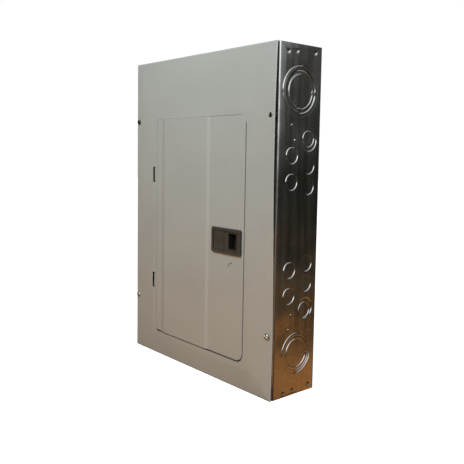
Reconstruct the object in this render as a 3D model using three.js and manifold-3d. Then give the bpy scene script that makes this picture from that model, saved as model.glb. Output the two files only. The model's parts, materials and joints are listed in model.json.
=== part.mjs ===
// A residential load center: a galvanised box for a stud bay, a painted trim cover with a hinged
// door and a slide latch, and inside it the pan, bus bars, neutral and ground bars, a main breaker
// and nine branch breakers. Every sub-part is one mesh.
//
// The bench frame used below: millimetres, X to the right from the box's centre line, Y back into
// the wall from the plane of the cover's edges, Z up from the bottom of the box.

import * as THREE from 'three';
import { ConvexGeometry } from 'three/addons/geometries/ConvexGeometry.js';
import { mergeVertices } from 'three/addons/utils/BufferGeometryUtils.js';
import Module from 'manifold-3d';

const wasm = await Module();
wasm.setup();

// ---------------------------------------------------------------- driving dimensions

const BOX_W = 363.5;            // 14.31 in, the cover and the box
const BOX_H = 533.4;            // 21.00 in
const BOX_D = 98.6;             // 3.88 in, from the cover's edges to the back of the box
const SHEET = 1.2;              // box, cover and door steel
const GAP = 0.3;                // left between pieces that touch
const THROUGH = 2;              // how far a cutter runs past the faces it cuts

// Box
const BOX_INSET = 0.4;          // the box is this much narrower than the cover on each side
const BOX_FRONT = 5.5;          // the box's front fold lies this far behind the cover's edges
const RETURN_W = 14;            // the folds that face the cover
const END_FLANGE = 18;          // the end walls' flanges inside the box
const KNOCKOUT_DENT = 0.5;      // how far a knockout is pressed in
const KNOCKOUT_MIRROR_Z = 263.2;
const BIG_KNOCKOUT = { y: 51.3, z: 464.5, radii: [38, 31.5, 25.5] };
const LOW_KNOCKOUT = { y: 54.8, z: 65.7, radii: [32, 28, 22.5] };
const SMALL_KNOCKOUTS = [[35.5, 106.3], [35.5, 66.7], [73, 91], [73, 59.3]];
const SMALL_KNOCKOUT_R = 12.2;
const PAIRED_KNOCKOUT = { y: 70.8, rise: 131.8, outer_y: 72.6, outer_rise: 129.4, radii: [16, 12.6] };
const NAIL_HOLE_R = 3.2;        // holes in the back for screws into a wall
const END_KNOCKOUT_X = [-145, -105, -65, 65, 105, 145];
const NAIL_HOLES = [[-120, 45], [120, 45], [-120, 488], [120, 488]];

// Cover: a shallow pan whose flat crest stands proud round the door
const CREST = 3.5;              // the crest stands this far in front of the cover's edges
const CREST_LEFT = 57;          // measured, like every "left" value, from the cover's left edge
const CREST_RIGHT = 315.7;
const CREST_BOTTOM = 35.8;
const CREST_TOP = 437.6;
const OPENING_LEFT = 70.5;
const OPENING_RIGHT = 305.5;
const OPENING_BOTTOM = 43.3;
const OPENING_TOP = 430.5;
const CORNER_R = 14;            // round corners on the door's free side
const LIP_BACK = 3;             // the opening's edges are turned in as far as this plane
const LIP_START = 82;           // no lip near the hinge
const SLOT_LEFT = 57.5;         // the hinge slots
const SLOT_RIGHT = 65.5;
const SLOT_H = 28;
const SQUARE_CORNER_R = 2;      // corners on the hinge side
const HINGE_HEIGHTS = [137.3, 331.2];
const COVER_SCREW_INSET = 8.6;
const COVER_SCREW_HEIGHTS = [99.3, 427.5];
const COVER_SCREW_HEAD_R = 4.4;
const COVER_SCREW_HEAD_H = 2.4;
const COVER_SCREW_LEN = 19;
const COVER_SCREW_R = 2;
const COVER_SCREW_POINT = 3;    // length of the pointed end
const COVER_HOLE_R = 2.6;
const COLLAR_R = 3.8;           // the captive collar on the shank, between cover and box

// Door
const DOOR_LEFT = 71;
const DOOR_RIGHT = 303;
const DOOR_BOTTOM = 45;
const DOOR_TOP = 429.6;
const FIELD_RISE = 2.5;         // the door's raised field stands this far in front of its rim
const FIELD_STEPS = [87, 97, 215, 219];
const DOOR_EDGE_BACK = -1.6;    // the door's edges are rolled back as far as this plane
const HINGE_AXIS_LEFT = 68;     // the middle of the strip between slot and opening
const HOOK_INNER_R = 3;
const HOOK_END_DEG = 192;
const HOOK_H = 25;
const LOCK_KNOCKOUT = { left: 276.9, z: 190, r: 8.6, depth: 0.4 };

// Latch
const LATCH_LEFT = 230;
const LATCH_RIGHT = 299.4;
const LATCH_BOTTOM = 212.7;
const LATCH_TOP = 253.3;
const LATCH_PROUD = 3.5;        // the bezel stands this far in front of the door's rim
const LATCH_WINDOW_LEFT = 260.5;
const LATCH_WINDOW_RIGHT = 295;
const LATCH_RIM = 5;            // width of the bezel round its window
const LATCH_CORNERS = [6, 5];   // radii of its left and right corners
const BEZEL_T = 1.3;
const SLEEVE_LEFT = 235;
const SLEEVE_RIGHT = 297;
const SLEEVE_T = 1.5;
const SLEEVE_BACK = 9.5;
const POCKET_LEFT = 270;
const POCKET_RIGHT = 289;
const POCKET_H = 25.6;
const POCKET_BACK = 8.5;
const CUP_T = 1.2;
const SLIDE_PLATE_T = 1.4;
const TONGUE_END = 304.7;
const TONGUE_H = 9;
const TONGUE_FRONT = -1;
const TONGUE_BACK = 3;
const SPRING_Y = 0.6;
const SPRING_COIL_R = 2.2;
const SPRING_WIRE_R = 0.35;
const SPRING_TURNS = 6;
const CARD = { margin: 5, thick: 0.4, bottom: 80, top: 400 };

// Inner shield, called the dead front
const SHIELD_Y = 11;
const SHIELD_WALL = { left: -124, right: 128.2, bottom: 40, top: 435.2 };
const SHIELD_RIM = { left: -132, right: 134, bottom: 33, top: 440, front: -1.5 };

// Branch breakers: ten rows of 1 in spaces on each side of the centre line
const PITCH = 25.4;
const ROWS_TOP = 330;
const ROWS = 10;
const USED_ROWS = 6;
const CASE_GAP = 0.4;
const CASE_INNER = 2;
const CASE_OUTER = 78;
const NOSE_INNER = 6;
const NOSE_OUTER = 50;
const NOSE_Y = 8;
const SHOULDER_Y = 22;
const CASE_BACK = 68;
const TOGGLE_X = 25;
const TOGGLE_Y = 20;
const TOGGLE_R = 21;            // from the pivot to the handle's tip
const TOGGLE_HUB_R = 9;
const TOGGLE_ANGLE = 20;        // on one side of straight out
const BREAKERS = [              // side, first row, number of rows
  [-1, 1, 2], [-1, 3, 1], [-1, 4, 1], [-1, 5, 1], [-1, 6, 1],
  [1, 1, 2], [1, 3, 2], [1, 5, 1], [1, 6, 1],
];

// Main breaker
const MAIN = { half_w: 38, bottom: 335, top: 428, front: 12.6 };
const MAIN_NOSE = { half_w: 24, bottom: 352, top: 404, front: 7 };
const MAIN_TOGGLE = { z: 378, y: 20, r: 20.5, hub_r: 9, half_w: 10, angle: 20 };
const MAIN_LUG = { x: 20, half_w: 10, y_front: 38, y_back: 62, height: 22, bay_depth: 8 };

// Interior
const PAN_Y = 88;
const PAN = { half_w: 85, foot: 12, bottom: 45, top: 440 };
const PAN_SCREWS = [[-91, 70], [91, 70], [-91, 415], [91, 415]];
const PAN_HOLE_R = 2.4;
const BUS_Y = 72;
const BUS_T = 3;
const BUS = { inner: 14, outer: 30, top: 350, reach: 12, stab_half_h: 7 };
const BLADE = { inner: 8, outer: 10, front: 58, half_h: 6 };
const BASE = { half_w: 44, channel_half_w: 41, shell_half_w: 36, bottom: 66, top: 352, front: 70 };
const TERMINAL_PITCH = 20;      // every second wire hole of the neutral and ground bars
const NEUTRAL = { x: 112, half_w: 4.5, front: 62, back: 74, bottom: 60, top: 330 };
const GROUND = { x: 145, half_w: 4.5, front: 84, back: 93, bottom: 90, top: 250 };
const NEUTRAL_LUG = { half_w: 11, front: 56, back: 78, height: 26 };

const BACK_INNER = BOX_D - SHEET;
const BOX_HALF = BOX_W / 2 - BOX_INSET;

// ---------------------------------------------------------------- materials

function steel(color, roughness) {
  return new THREE.MeshStandardMaterial({ color, roughness, metalness: 1 });
}

function plastic(color, roughness) {
  return new THREE.MeshStandardMaterial({ color, roughness, metalness: 0 });
}

const LOOKS = {
  galvanised: () => steel(0x8a8c8c, 0.4),
  grey_paint: () => plastic(0xa6a7a0, 0.5),
  zinc: () => steel(0xbfc0ba, 0.35),
  charcoal: () => plastic(0x45433f, 0.55),
  black_case: () => plastic(0x1f1f20, 0.5),
  handle: () => plastic(0x2c2c2e, 0.45),
  insulator: () => plastic(0x6c2f24, 0.6),
  aluminium: () => steel(0xc9cacb, 0.35),
  copper: () => steel(0xb0764f, 0.35),
  card: () => plastic(0xe9e6da, 0.85),
};

// ---------------------------------------------------------------- solids

/** An x measured from the cover's left edge, as an x from the centre line. */
function fromLeft(left) {
  return left - BOX_W / 2;
}

function solidOf(geometry) {
  const bare = geometry.index ? geometry.clone() : geometry;
  bare.deleteAttribute('normal');
  bare.deleteAttribute('uv');
  const merged = mergeVertices(bare, 1e-4);
  return new wasm.Manifold(new wasm.Mesh({
    numProp: 3,
    vertProperties: new Float32Array(merged.attributes.position.array),
    triVerts: new Uint32Array(merged.index.array),
  }));
}

function geometryOf(solid) {
  const mesh = solid.getMesh();
  const geometry = new THREE.BufferGeometry();
  geometry.setAttribute('position', new THREE.BufferAttribute(mesh.vertProperties, 3));
  geometry.setIndex(new THREE.BufferAttribute(mesh.triVerts, 1));
  geometry.computeVertexNormals();
  return geometry;
}

function join(...solids) {
  return solids.reduce((sum, solid) => sum.add(solid));
}

function cut(body, ...tools) {
  return tools.reduce((rest, tool) => rest.subtract(tool), body);
}

function box(x0, x1, y0, y1, z0, z1) {
  const geometry = new THREE.BoxGeometry(x1 - x0, y1 - y0, z1 - z0);
  geometry.translate((x0 + x1) / 2, (y0 + y1) / 2, (z0 + z1) / 2);
  return solidOf(geometry);
}

/** A cylinder along an axis, through (a, b) of the other two axes in X, Y, Z order. */
function cylinder(axis, a, b, radius, from, to, sides = 20) {
  const geometry = new THREE.CylinderGeometry(radius, radius, to - from, sides);
  const middle = (from + to) / 2;
  if (axis === 'x') {
    geometry.rotateZ(Math.PI / 2);
    geometry.translate(middle, a, b);
  } else if (axis === 'y') {
    geometry.translate(a, middle, b);
  } else {
    geometry.rotateX(Math.PI / 2);
    geometry.translate(a, b, middle);
  }
  return solidOf(geometry);
}

function ring(axis, a, b, outerR, innerR, from, to) {
  return cut(cylinder(axis, a, b, outerR, from, to), cylinder(axis, a, b, innerR, from - 1, to + 1));
}

/** Extrudes an outline in X and Y along Z. */
function extrudeUp(outline, z0, z1) {
  const shape = outline instanceof THREE.Shape
    ? outline
    : new THREE.Shape(outline.map(([x, y]) => new THREE.Vector2(x, y)));
  const depth = z1 - z0;
  const geometry = new THREE.ExtrudeGeometry(shape, { depth, bevelEnabled: false, curveSegments: 6 });
  geometry.translate(0, 0, z0);
  return solidOf(geometry);
}

/** Extrudes an outline in X and Z along Y. */
function extrudeBack(outline, y0, y1) {
  const depth = y1 - y0;
  const geometry = new THREE.ExtrudeGeometry(outline, { depth, bevelEnabled: false, curveSegments: 6 });
  geometry.rotateX(Math.PI / 2);
  geometry.translate(0, y1, 0);
  return solidOf(geometry);
}

/** A rectangle in X and Z with its own radius for the left and for the right corners. */
function roundedOutline(x0, x1, z0, z1, leftR, rightR = leftR) {
  const shape = new THREE.Shape();
  shape.moveTo(x0 + leftR, z0);
  shape.lineTo(x1 - rightR, z0);
  shape.absarc(x1 - rightR, z0 + rightR, rightR, -Math.PI / 2, 0);
  shape.lineTo(x1, z1 - rightR);
  shape.absarc(x1 - rightR, z1 - rightR, rightR, 0, Math.PI / 2);
  shape.lineTo(x0 + leftR, z1);
  shape.absarc(x0 + leftR, z1 - leftR, leftR, Math.PI / 2, Math.PI);
  shape.lineTo(x0, z0 + leftR);
  shape.absarc(x0 + leftR, z0 + leftR, leftR, Math.PI, Math.PI * 1.5);
  return shape;
}

// ---------------------------------------------------------------- box

/** The pressed dents of one side's knockouts, as cutters that reach in from the outside. */
function sideKnockouts(side) {
  const outer = side * (BOX_HALF + THROUGH);
  const inner = side * (BOX_HALF - KNOCKOUT_DENT);
  const [from, to] = side > 0 ? [inner, outer] : [outer, inner];
  const tools = [];
  for (const { y, z, radii: [big, middle, small] } of [BIG_KNOCKOUT, LOW_KNOCKOUT]) {
    tools.push(ring('x', y, z, big, middle, from, to));
    tools.push(cylinder('x', y, z, small, from, to));
  }
  for (const half of [-1, 1]) {
    const height = (rise) => KNOCKOUT_MIRROR_Z + half * rise;
    for (const [y, rise] of SMALL_KNOCKOUTS) {
      tools.push(cylinder('x', y, height(rise), SMALL_KNOCKOUT_R, from, to, 16));
    }
    const pair = PAIRED_KNOCKOUT;
    tools.push(cylinder('x', pair.y, height(pair.rise), SMALL_KNOCKOUT_R, from, to, 16));
    tools.push(cut(
      cylinder('x', pair.outer_y, height(pair.outer_rise), pair.radii[0], from, to),
      cylinder('x', pair.y, height(pair.rise), pair.radii[1], from - 1, to + 1),
    ));
  }
  return tools;
}

function enclosureWrap() {
  const inside = BOX_HALF - SHEET;
  const lip = BOX_HALF - RETURN_W;
  const lipBack = BOX_FRONT + SHEET;
  const half = [
    [lip, BOX_FRONT], [BOX_HALF, BOX_FRONT], [BOX_HALF, BOX_D],
    [inside, BACK_INNER], [inside, lipBack], [lip, lipBack],
  ];
  const mirror = (points) => points.map(([x, y]) => [-x, y]).reverse();
  const outerFace = half.slice(0, 3);
  const innerFace = half.slice(3);
  const outline = [...outerFace, ...mirror(outerFace), ...mirror(innerFace), ...innerFace];
  const backHole = ([x, z], radius) => cylinder('y', x, z, radius, BACK_INNER - 1, BOX_D + 1, 12);
  const holes = NAIL_HOLES.map((spot) => backHole(spot, NAIL_HOLE_R));
  const panHoles = PAN_SCREWS.map((spot) => backHole(spot, PAN_HOLE_R));
  const screwHoles = [];
  for (const side of [-1, 1]) {
    for (const z of COVER_SCREW_HEIGHTS) {
      const x = side * (BOX_W / 2 - COVER_SCREW_INSET);
      screwHoles.push(cylinder('y', x, z, COVER_HOLE_R, BOX_FRONT - 1, lipBack + 1, 12));
    }
  }
  return cut(
    extrudeUp(outline, 0, BOX_H),
    ...sideKnockouts(-1), ...sideKnockouts(1), ...holes, ...panHoles, ...screwHoles,
  );
}

/** A flat pan between the folded sides, flanges towards the inside; end is 1 at the top, -1 below. */
function endWall(end) {
  const half = BOX_HALF - SHEET - GAP;
  const front = BOX_FRONT + SHEET + GAP;
  const back = BACK_INNER - GAP;
  const face = end > 0 ? BOX_H : 0;
  const span = (from, to) => (end > 0 ? [face - to, face - from] : [face + from, face + to]);
  const block = box(-half, half, front, back, ...span(0, END_FLANGE));
  const hollow = box(
    -half + SHEET, half - SHEET, front + SHEET, back - SHEET, ...span(SHEET, END_FLANGE + THROUGH),
  );
  const dent = end > 0 ? [face - KNOCKOUT_DENT, face + THROUGH] : [face - THROUGH, face + KNOCKOUT_DENT];
  const middle = (front + back) / 2;
  const dents = [
    ring('z', 0, middle, BIG_KNOCKOUT.radii[0], BIG_KNOCKOUT.radii[1], ...dent),
    cylinder('z', 0, middle, BIG_KNOCKOUT.radii[2], ...dent),
  ];
  for (const x of END_KNOCKOUT_X) {
    dents.push(cylinder('z', x, middle, SMALL_KNOCKOUT_R, ...dent, 16));
  }
  return cut(block, hollow, ...dents);
}

// ---------------------------------------------------------------- cover

/** A solid frustum with the cover's outline; shift moves its sloped face back. */
function coverFrustum(shift, backFace) {
  const w = BOX_W / 2;
  const points = [];
  for (const x of [-w, w]) {
    for (const z of [0, BOX_H]) {
      points.push(new THREE.Vector3(x, shift, z), new THREE.Vector3(x, backFace, z));
    }
  }
  for (const x of [fromLeft(CREST_LEFT), fromLeft(CREST_RIGHT)]) {
    for (const z of [CREST_BOTTOM, CREST_TOP]) {
      points.push(new THREE.Vector3(x, shift - CREST, z));
    }
  }
  return solidOf(new ConvexGeometry(points));
}

function trimCover() {
  const outerR = CORNER_R + 2;
  const opening = roundedOutline(
    fromLeft(OPENING_LEFT), fromLeft(OPENING_RIGHT), OPENING_BOTTOM, OPENING_TOP, SQUARE_CORNER_R, outerR,
  );
  const depth = [-CREST - THROUGH, THROUGH];
  const tools = [extrudeBack(opening, ...depth)];
  for (const z of HINGE_HEIGHTS) {
    tools.push(box(fromLeft(SLOT_LEFT), fromLeft(SLOT_RIGHT), ...depth, z - SLOT_H / 2, z + SLOT_H / 2));
  }
  for (const side of [-1, 1]) {
    for (const z of COVER_SCREW_HEIGHTS) {
      tools.push(cylinder('y', side * (BOX_W / 2 - COVER_SCREW_INSET), z, COVER_HOLE_R, ...depth, 12));
    }
  }
  const lipOutline = roundedOutline(
    fromLeft(OPENING_LEFT) - SHEET, fromLeft(OPENING_RIGHT) + SHEET,
    OPENING_BOTTOM - SHEET, OPENING_TOP + SHEET, SQUARE_CORNER_R, outerR + SHEET,
  );
  const lip = cut(
    extrudeBack(lipOutline, -CREST + SHEET / 2, LIP_BACK),
    extrudeBack(opening, -CREST - THROUGH, LIP_BACK + THROUGH),
    box(-BOX_W, fromLeft(LIP_START), -CREST - THROUGH, LIP_BACK + THROUGH, 0, BOX_H),
  );
  const sheet = cut(coverFrustum(0, SHEET), coverFrustum(SHEET, SHEET + THROUGH), ...tools);
  return join(sheet, lip);
}

/** Head, shank, captive collar and point as one turned solid, standing in the cover's slope. */
function coverScrew(side, z) {
  const slopeW = side < 0 ? CREST_LEFT : BOX_W - CREST_RIGHT;
  const front = -CREST * (COVER_SCREW_INSET + COVER_SCREW_HEAD_R) / slopeW - GAP;
  const collarFront = SHEET + GAP - front;
  const collarBack = BOX_FRONT - GAP - front;
  const profile = [
    [0, -COVER_SCREW_HEAD_H], [COVER_SCREW_HEAD_R * 0.7, -COVER_SCREW_HEAD_H * 0.85],
    [COVER_SCREW_HEAD_R, -COVER_SCREW_HEAD_H * 0.3], [COVER_SCREW_HEAD_R, 0],
    [COVER_SCREW_R, 0], [COVER_SCREW_R, collarFront], [COLLAR_R, collarFront],
    [COLLAR_R, collarBack], [COVER_SCREW_R, collarBack],
    [COVER_SCREW_R, COVER_SCREW_LEN - COVER_SCREW_POINT], [0, COVER_SCREW_LEN],
  ];
  const geometry = new THREE.LatheGeometry(profile.map(([r, y]) => new THREE.Vector2(r, y)), 16);
  geometry.translate(side * (BOX_W / 2 - COVER_SCREW_INSET), front, z);
  return solidOf(geometry);
}

// ---------------------------------------------------------------- door and latch

/** One rolled hook: a ring sector that wraps the cover's strip from behind. */
function hingeHook(z) {
  const steps = 14;             // one for every 14 degrees
  const axisX = fromLeft(HINGE_AXIS_LEFT);
  const axisY = -CREST + SHEET / 2;
  const point = (radius, step) => {
    const angle = THREE.MathUtils.degToRad(HOOK_END_DEG * step / steps);
    return [axisX + radius * Math.cos(angle), axisY + radius * Math.sin(angle)];
  };
  const inner = [];
  const outer = [];
  for (let step = 0; step <= steps; step += 1) {
    inner.push(point(HOOK_INNER_R, step));
    outer.push(point(HOOK_INNER_R + SHEET, step));
  }
  return extrudeUp([...inner, ...outer.reverse()], z - HOOK_H / 2, z + HOOK_H / 2);
}

function doorPanel() {
  const rim = -CREST;
  const field = -CREST - FIELD_RISE;
  const [a, b, c, d] = FIELD_STEPS;
  const front = [[DOOR_LEFT, rim], [a, rim], [b, field], [c, field], [d, rim], [DOOR_RIGHT, rim]];
  const behind = [[DOOR_RIGHT, DOOR_EDGE_BACK], [DOOR_LEFT, DOOR_EDGE_BACK]];
  const bent = (points) => extrudeUp(points.map(([x, y]) => [fromLeft(x), y]), DOOR_BOTTOM, DOOR_TOP);
  const outline = roundedOutline(
    fromLeft(DOOR_LEFT), fromLeft(DOOR_RIGHT), DOOR_BOTTOM, DOOR_TOP, SQUARE_CORNER_R, CORNER_R,
  );
  const inside = roundedOutline(
    fromLeft(DOOR_LEFT) + SHEET, fromLeft(DOOR_RIGHT) - SHEET, DOOR_BOTTOM + SHEET, DOOR_TOP - SHEET,
    SQUARE_CORNER_R - SHEET, CORNER_R - SHEET,
  );
  const tray = bent([...front, ...behind]).intersect(extrudeBack(outline, field - THROUGH, THROUGH));
  const innerFace = front.map(([x, y]) => [x, y + SHEET]);
  const pastBack = behind.map(([x, y]) => [x, y + THROUGH]);
  const hollow = bent([...innerFace, ...pastBack])
    .intersect(extrudeBack(inside, field - THROUGH, DOOR_EDGE_BACK + THROUGH));
  const blank = cut(tray, hollow);
  const latchHole = box(
    fromLeft(SLEEVE_LEFT) - 0.5, fromLeft(SLEEVE_RIGHT) + 0.5, field - THROUGH, THROUGH,
    LATCH_BOTTOM + LATCH_RIM - 1, LATCH_TOP - LATCH_RIM + 1,
  );
  const lock = LOCK_KNOCKOUT;
  const lockDent = cylinder('y', fromLeft(lock.left), lock.z, lock.r, rim - THROUGH, rim + lock.depth);
  return join(cut(blank, latchHole, lockDent), ...HINGE_HEIGHTS.map(hingeHook));
}

function latchBezel() {
  const front = -CREST - LATCH_PROUD;
  const outer = roundedOutline(
    fromLeft(LATCH_LEFT), fromLeft(LATCH_RIGHT), LATCH_BOTTOM, LATCH_TOP, ...LATCH_CORNERS,
  );
  const face = extrudeBack(outer, front, -CREST - GAP);
  const hollow = box(
    fromLeft(SLEEVE_LEFT) + SLEEVE_T, fromLeft(SLEEVE_RIGHT) - SLEEVE_T,
    front + BEZEL_T, SLEEVE_BACK + THROUGH,
    LATCH_BOTTOM + LATCH_RIM + 1, LATCH_TOP - LATCH_RIM - 1,
  );
  const sleeve = box(
    fromLeft(SLEEVE_LEFT), fromLeft(SLEEVE_RIGHT), front + BEZEL_T, SLEEVE_BACK,
    LATCH_BOTTOM + LATCH_RIM - 0.5, LATCH_TOP - LATCH_RIM + 0.5,
  );
  const opening = box(
    fromLeft(LATCH_WINDOW_LEFT), fromLeft(LATCH_WINDOW_RIGHT), front - THROUGH, front + BEZEL_T + 1,
    LATCH_BOTTOM + LATCH_RIM + 1, LATCH_TOP - LATCH_RIM - 1,
  );
  const middle = (LATCH_BOTTOM + LATCH_TOP) / 2;
  const tongueHole = box(
    fromLeft(SLEEVE_RIGHT) - SLEEVE_T - 1, fromLeft(SLEEVE_RIGHT) + 1,
    TONGUE_FRONT - 0.5, TONGUE_BACK + 0.5,
    middle - TONGUE_H / 2 - 0.6, middle + TONGUE_H / 2 + 0.6,
  );
  return cut(join(face, sleeve), hollow, opening, tongueHole);
}

/** Face plate, finger cup and tongue, free to move towards the hinge inside the bezel's sleeve. */
function latchSlide() {
  const front = -CREST - LATCH_PROUD + BEZEL_T + GAP;
  const middle = (LATCH_BOTTOM + LATCH_TOP) / 2;
  const halfFace = (LATCH_TOP - LATCH_BOTTOM) / 2 - LATCH_RIM - 1.5;
  const plate = box(
    fromLeft(LATCH_WINDOW_LEFT) - 2.5, fromLeft(LATCH_WINDOW_RIGHT) - 0.4, front, front + SLIDE_PLATE_T,
    middle - halfFace, middle + halfFace,
  );
  const cup = box(
    fromLeft(POCKET_LEFT) - CUP_T, fromLeft(POCKET_RIGHT) + CUP_T, front, POCKET_BACK,
    middle - POCKET_H / 2 - CUP_T, middle + POCKET_H / 2 + CUP_T,
  );
  const pocket = box(
    fromLeft(POCKET_LEFT), fromLeft(POCKET_RIGHT), front - THROUGH, POCKET_BACK - CUP_T,
    middle - POCKET_H / 2, middle + POCKET_H / 2,
  );
  const root = fromLeft(POCKET_RIGHT) + CUP_T / 2;
  const tip = fromLeft(TONGUE_END);
  const tongue = extrudeUp([
    [root, TONGUE_FRONT], [tip, TONGUE_FRONT], [tip, TONGUE_FRONT + 1],
    [tip - 3, TONGUE_BACK], [root, TONGUE_BACK],
  ], middle - TONGUE_H / 2, middle + TONGUE_H / 2);
  return join(cut(join(plate, cup), pocket), tongue);
}

/** The return spring between the sleeve's hinge-side wall and the cup, as one bent wire. */
function latchSpring() {
  const from = fromLeft(SLEEVE_LEFT) + SLEEVE_T + 0.5;
  const to = fromLeft(POCKET_LEFT) - CUP_T - 0.5;
  const middle = (LATCH_BOTTOM + LATCH_TOP) / 2;
  const points = [];
  const steps = SPRING_TURNS * 8;
  for (let step = 0; step <= steps; step += 1) {
    const share = step / steps;
    const angle = share * SPRING_TURNS * 2 * Math.PI;
    const y = SPRING_Y + SPRING_COIL_R * Math.cos(angle);
    const z = middle + SPRING_COIL_R * Math.sin(angle);
    points.push(new THREE.Vector3(from + (to - from) * share, y, z));
  }
  const wire = new THREE.Shape().absarc(0, 0, SPRING_WIRE_R, 0, 2 * Math.PI);
  const geometry = new THREE.ExtrudeGeometry(wire, {
    extrudePath: new THREE.CatmullRomCurve3(points), steps, curveSegments: 3, bevelEnabled: false,
  });
  return solidOf(geometry);
}

function circuitDirectory() {
  const behind = -CREST - FIELD_RISE + SHEET + GAP;
  const left = fromLeft(FIELD_STEPS[1]) + CARD.margin;
  const right = fromLeft(FIELD_STEPS[2]) - CARD.margin;
  return box(left, right, behind, behind + CARD.thick, CARD.bottom, CARD.top);
}

// ---------------------------------------------------------------- dead front

/** The z of the top edge of a breaker row, rows counted from 1 downwards. */
function rowTop(row) {
  return ROWS_TOP - (row - 1) * PITCH;
}

function deadFront() {
  const wall = SHIELD_WALL;
  const rim = SHIELD_RIM;
  const plateBack = SHIELD_Y + SHEET;
  const block = box(wall.left, wall.right, rim.front, plateBack, wall.bottom, wall.top);
  const flange = box(rim.left, rim.right, rim.front, rim.front + SHEET, rim.bottom, rim.top);
  const hollow = box(
    wall.left + SHEET, wall.right - SHEET, rim.front - THROUGH, SHIELD_Y,
    wall.bottom + SHEET, wall.top - SHEET,
  );
  const usedBottom = rowTop(USED_ROWS + 1);
  const windows = [-1, 1].map((side) => {
    const edges = [side * (NOSE_INNER - 1), side * (NOSE_OUTER + 1)].sort((a, b) => a - b);
    return box(...edges, SHIELD_Y - THROUGH, plateBack + THROUGH, usedBottom - 0.5, ROWS_TOP + 0.5);
  });
  const mainWindow = box(
    -MAIN_NOSE.half_w - 1, MAIN_NOSE.half_w + 1, SHIELD_Y - THROUGH, plateBack + THROUGH,
    MAIN_NOSE.bottom - 1, MAIN_NOSE.top + 1,
  );
  return cut(join(block, flange), hollow, ...windows, mainWindow);
}

// ---------------------------------------------------------------- breakers

/** The z extent of a breaker, with the gap to its neighbours taken off. */
function breakerSpan(row, rows) {
  const top = rowTop(row) - CASE_GAP / 2;
  return [top - rows * PITCH + CASE_GAP, top];
}

/** The middle height of each pole of a breaker. */
function poleHeights(row, rows) {
  return Array.from({ length: rows }, (unused, pole) => rowTop(row + pole) - PITCH / 2);
}

function branchCase([side, row, rows]) {
  const outline = [
    [CASE_INNER, SHOULDER_Y], [NOSE_INNER, SHOULDER_Y], [NOSE_INNER, NOSE_Y + 1], [NOSE_INNER + 1, NOSE_Y],
    [NOSE_OUTER - 1, NOSE_Y], [NOSE_OUTER, NOSE_Y + 1], [NOSE_OUTER, SHOULDER_Y], [64, SHOULDER_Y],
    [67, 30], [CASE_OUTER, 30], [CASE_OUTER, 57], [67.5, 57], [67.5, CASE_BACK],
    [16, CASE_BACK], [16, 56], [CASE_INNER, 56],
  ].map(([x, y]) => [side * x, y]);
  const slots = poleHeights(row, rows).map((z) => box(
    side * TOGGLE_X - TOGGLE_HUB_R - 0.6, side * TOGGLE_X + TOGGLE_HUB_R + 0.6,
    NOSE_Y - THROUGH, TOGGLE_Y + TOGGLE_HUB_R + 1, z - 4, z + 4,
  ));
  return cut(extrudeUp(outline, ...breakerSpan(row, rows)), ...slots);
}

/** A lever on a round hub, straight out along -Y from (x, y); its outline in X and Y. */
function leverOutline(x, y, hubR, reach, halfRoot, halfTip) {
  const shape = new THREE.Shape();
  const root = Math.asin(halfRoot / hubR);
  shape.moveTo(x - halfTip, y - reach);
  shape.lineTo(x + halfTip, y - reach);
  shape.absarc(x, y, hubR, -Math.PI / 2 + root, Math.PI * 1.5 - root);
  return shape;
}

/** The handle in its on position, tipped towards the panel's centre line. */
function branchHandle([side, row, rows]) {
  const x = side * TOGGLE_X;
  const lever = leverOutline(x, TOGGLE_Y, TOGGLE_HUB_R, TOGGLE_R, 3.4, 2.4);
  const heights = poleHeights(row, rows);
  const levers = heights.map((z) => extrudeUp(lever, z - 3.5, z + 3.5));
  let handle = join(...levers);
  if (rows > 1) {
    const tie = box(
      x - 2.3, x + 2.3, TOGGLE_Y - TOGGLE_R + 0.5, TOGGLE_Y - TOGGLE_R + 5, heights[rows - 1], heights[0],
    );
    handle = join(handle, tie);
  }
  const geometry = geometryOf(handle);
  geometry.translate(-x, -TOGGLE_Y, 0);
  geometry.rotateZ(THREE.MathUtils.degToRad(-side * TOGGLE_ANGLE));
  geometry.translate(x, TOGGLE_Y, 0);
  return solidOf(geometry);
}

function mainCase() {
  const body = box(-MAIN.half_w, MAIN.half_w, MAIN.front, CASE_BACK, MAIN.bottom, MAIN.top);
  const nose = box(
    -MAIN_NOSE.half_w, MAIN_NOSE.half_w, MAIN_NOSE.front, MAIN.front + 1, MAIN_NOSE.bottom, MAIN_NOSE.top,
  );
  const toggle = MAIN_TOGGLE;
  const slot = box(
    -toggle.half_w - 0.6, toggle.half_w + 0.6, MAIN_NOSE.front - THROUGH, toggle.y + toggle.hub_r + 1,
    toggle.z - toggle.hub_r - 0.6, toggle.z + toggle.hub_r + 0.6,
  );
  const bays = [-1, 1].map((side) => box(
    side * MAIN_LUG.x - MAIN_LUG.half_w - 2, side * MAIN_LUG.x + MAIN_LUG.half_w + 2,
    MAIN.front - THROUGH, MAIN_LUG.y_back + 2, MAIN.top - MAIN_LUG.bay_depth, MAIN.top + THROUGH,
  ));
  return cut(join(body, nose), slot, ...bays);
}

/** The main handle, tipped up: on. Its lever is drawn like the branch levers, then turned. */
function mainHandle() {
  const toggle = MAIN_TOGGLE;
  const lever = leverOutline(0, 0, toggle.hub_r, toggle.r, 3.8, 2.8);
  const geometry = geometryOf(extrudeUp(lever, -toggle.half_w, toggle.half_w));
  geometry.rotateY(Math.PI / 2);
  geometry.rotateX(THREE.MathUtils.degToRad(-toggle.angle));
  geometry.translate(0, toggle.y, toggle.z);
  return solidOf(geometry);
}

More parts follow.
